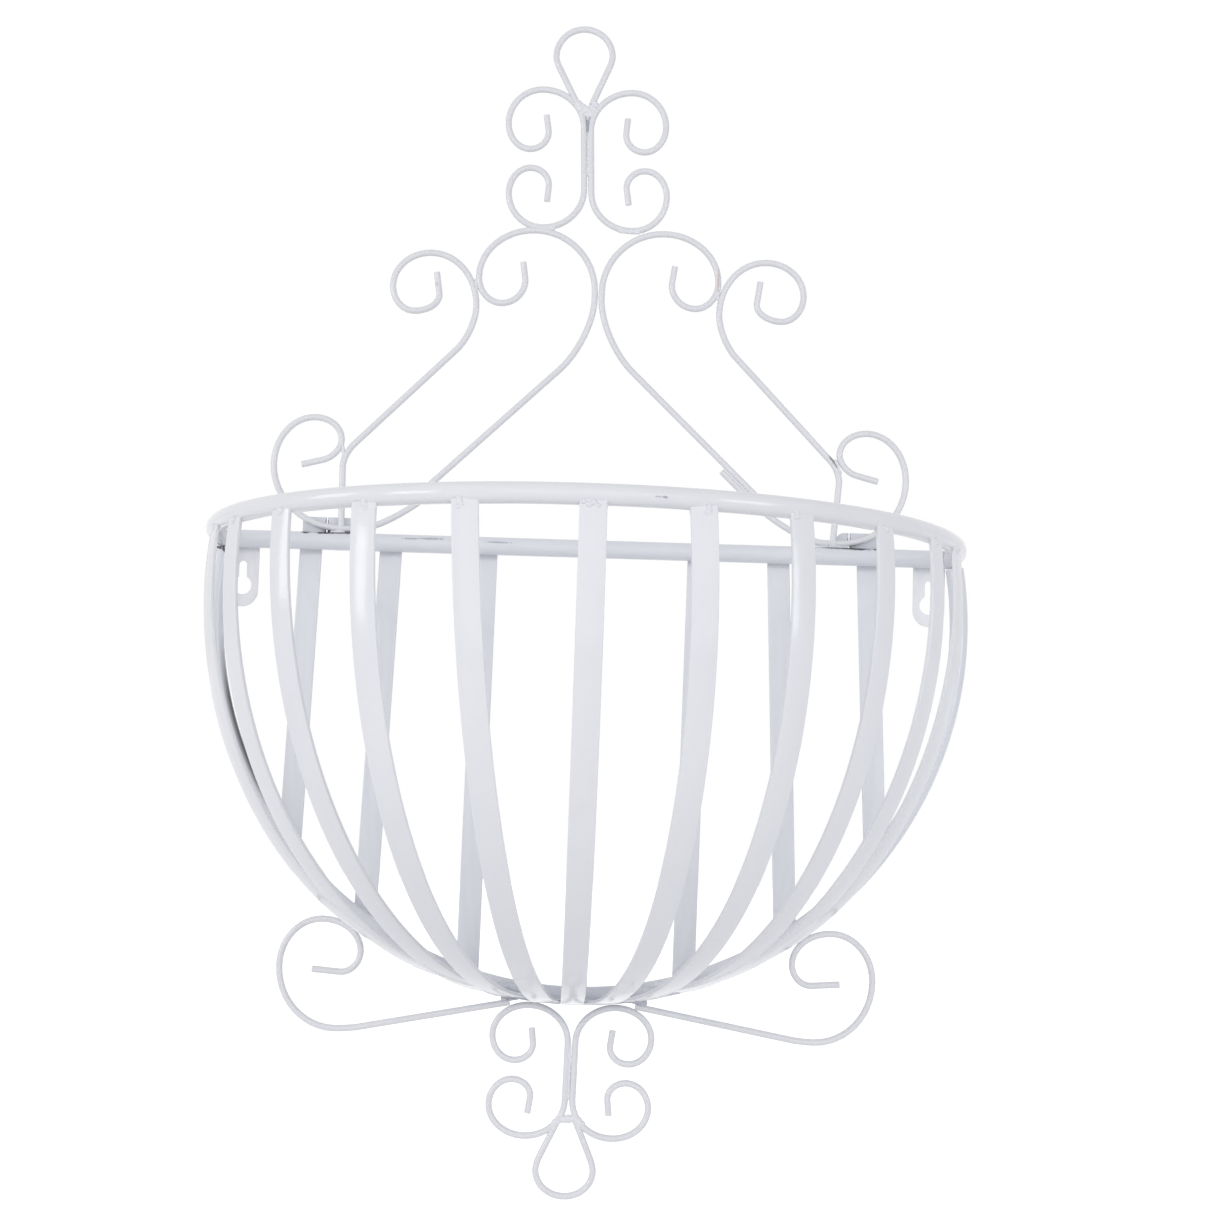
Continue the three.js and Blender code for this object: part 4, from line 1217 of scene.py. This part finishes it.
FLOOR_Z = -0.95
FLOOR_HALF = 12.0
FLOOR_COLOUR = (0.82, 0.82, 0.83, 1)
FLOOR_GLOW = 0.75
WHITE = (1, 1, 1, 1)
AMBIENT_COLOUR = (0.955, 0.965, 1, 1)
AMBIENT_LEVEL = 0.575

# Soft boxes: place, what they face, size, power and colour
NEUTRAL = (1, 1, 1)
COOL = (0.94, 0.965, 1)
SOFT_BOXES = {
    "front_box": ((0.15, -2.55, 0.3), (0, 0, -0.1), (2.6, 1.7), 11.5, NEUTRAL),
    "left_box": ((-1.5, -1.37, 0.2), (0, -0.15, -0.05), (0.45, 0.8), 4.8, NEUTRAL),
    "left_high_box": ((-1.87, -0.56, 0.4), (-0.1, -0.15, 0), (0.5, 0.8), 4.2, NEUTRAL),
    "right_box": ((1.41, -1.47, 0.15), (0, -0.15, -0.05), (0.5, 0.8), 5.4, COOL),
}


def seen_ray(tree, at):
    """1 for a ray that shows the background: from the camera, a gloss or through glass."""
    path = add_node(tree, "ShaderNodeLightPath", at)
    total = path.outputs["Is Camera Ray"]
    for column, name in enumerate(("Is Glossy Ray", "Is Transmission Ray"), 1):
        total = maths(tree, "MAXIMUM", beside(at, column), total, path.outputs[name])
    return total


def choose_shader(tree, factor, first, second, at):
    choose = add_node(tree, "ShaderNodeMixShader", at)
    tree.links.new(factor, choose.inputs[0])
    tree.links.new(first.outputs[0], choose.inputs[1])
    tree.links.new(second.outputs[0], choose.inputs[2])
    return choose.outputs[0]


def pale_floor_coat():
    material = bpy.data.materials.new("pale_floor")
    material.use_nodes = True
    tree = material.node_tree
    tree.nodes.clear()
    matt = add_node(tree, "ShaderNodeBsdfDiffuse", (0, 0), Color=FLOOR_COLOUR)
    glow = add_node(tree, "ShaderNodeEmission", (0, -150), Color=WHITE, Strength=FLOOR_GLOW)
    both = add_node(tree, "ShaderNodeAddShader", (200, -80))
    out = add_node(tree, "ShaderNodeOutputMaterial", (620, 0))
    tree.links.new(matt.outputs[0], both.inputs[0])
    tree.links.new(glow.outputs[0], both.inputs[1])
    surface = choose_shader(tree, seen_ray(tree, (-400, 300)), matt, both, (420, 0))
    tree.links.new(surface, out.inputs[0])
    return material


def pale_floor():
    bm = bmesh.new()
    bmesh.ops.create_grid(bm, x_segments=1, y_segments=1, size=FLOOR_HALF)
    mesh = bpy.data.meshes.new("floor")
    bm.to_mesh(mesh)
    bm.free()
    mesh.materials.append(pale_floor_coat())
    floor = bpy.data.objects.new("floor", mesh)
    floor.location = (0, 0, FLOOR_Z)
    bpy.context.collection.objects.link(floor)


def white_world():
    world = bpy.data.worlds.new("studio")
    bpy.context.scene.world = world
    world.use_nodes = True
    tree = world.node_tree
    tree.nodes.clear()
    ambient = add_node(
        tree, "ShaderNodeBackground", (-200, 0), Color=AMBIENT_COLOUR, Strength=AMBIENT_LEVEL,
    )
    seen = add_node(tree, "ShaderNodeBackground", (-200, -150), Color=WHITE, Strength=1.0)
    out = add_node(tree, "ShaderNodeOutputWorld", (200, 0))
    surface = choose_shader(tree, seen_ray(tree, (-700, 200)), ambient, seen, (0, 0))
    tree.links.new(surface, out.inputs[0])


def soft_box(name, place, aim, size, power, colour):
    data = bpy.data.lights.new(name, "AREA")
    data.shape = "RECTANGLE"
    data.size, data.size_y = size
    data.energy = power
    data.color = colour
    lamp = bpy.data.objects.new(name, data)
    lamp.location = place
    lamp.rotation_euler = (Vector(aim) - Vector(place)).to_track_quat("-Z", "Y").to_euler()
    bpy.context.collection.objects.link(lamp)


pale_floor()
white_world()
for name, box in SOFT_BOXES.items():
    soft_box(name, *box)
bpy.context.scene.view_settings.view_transform = "Standard"
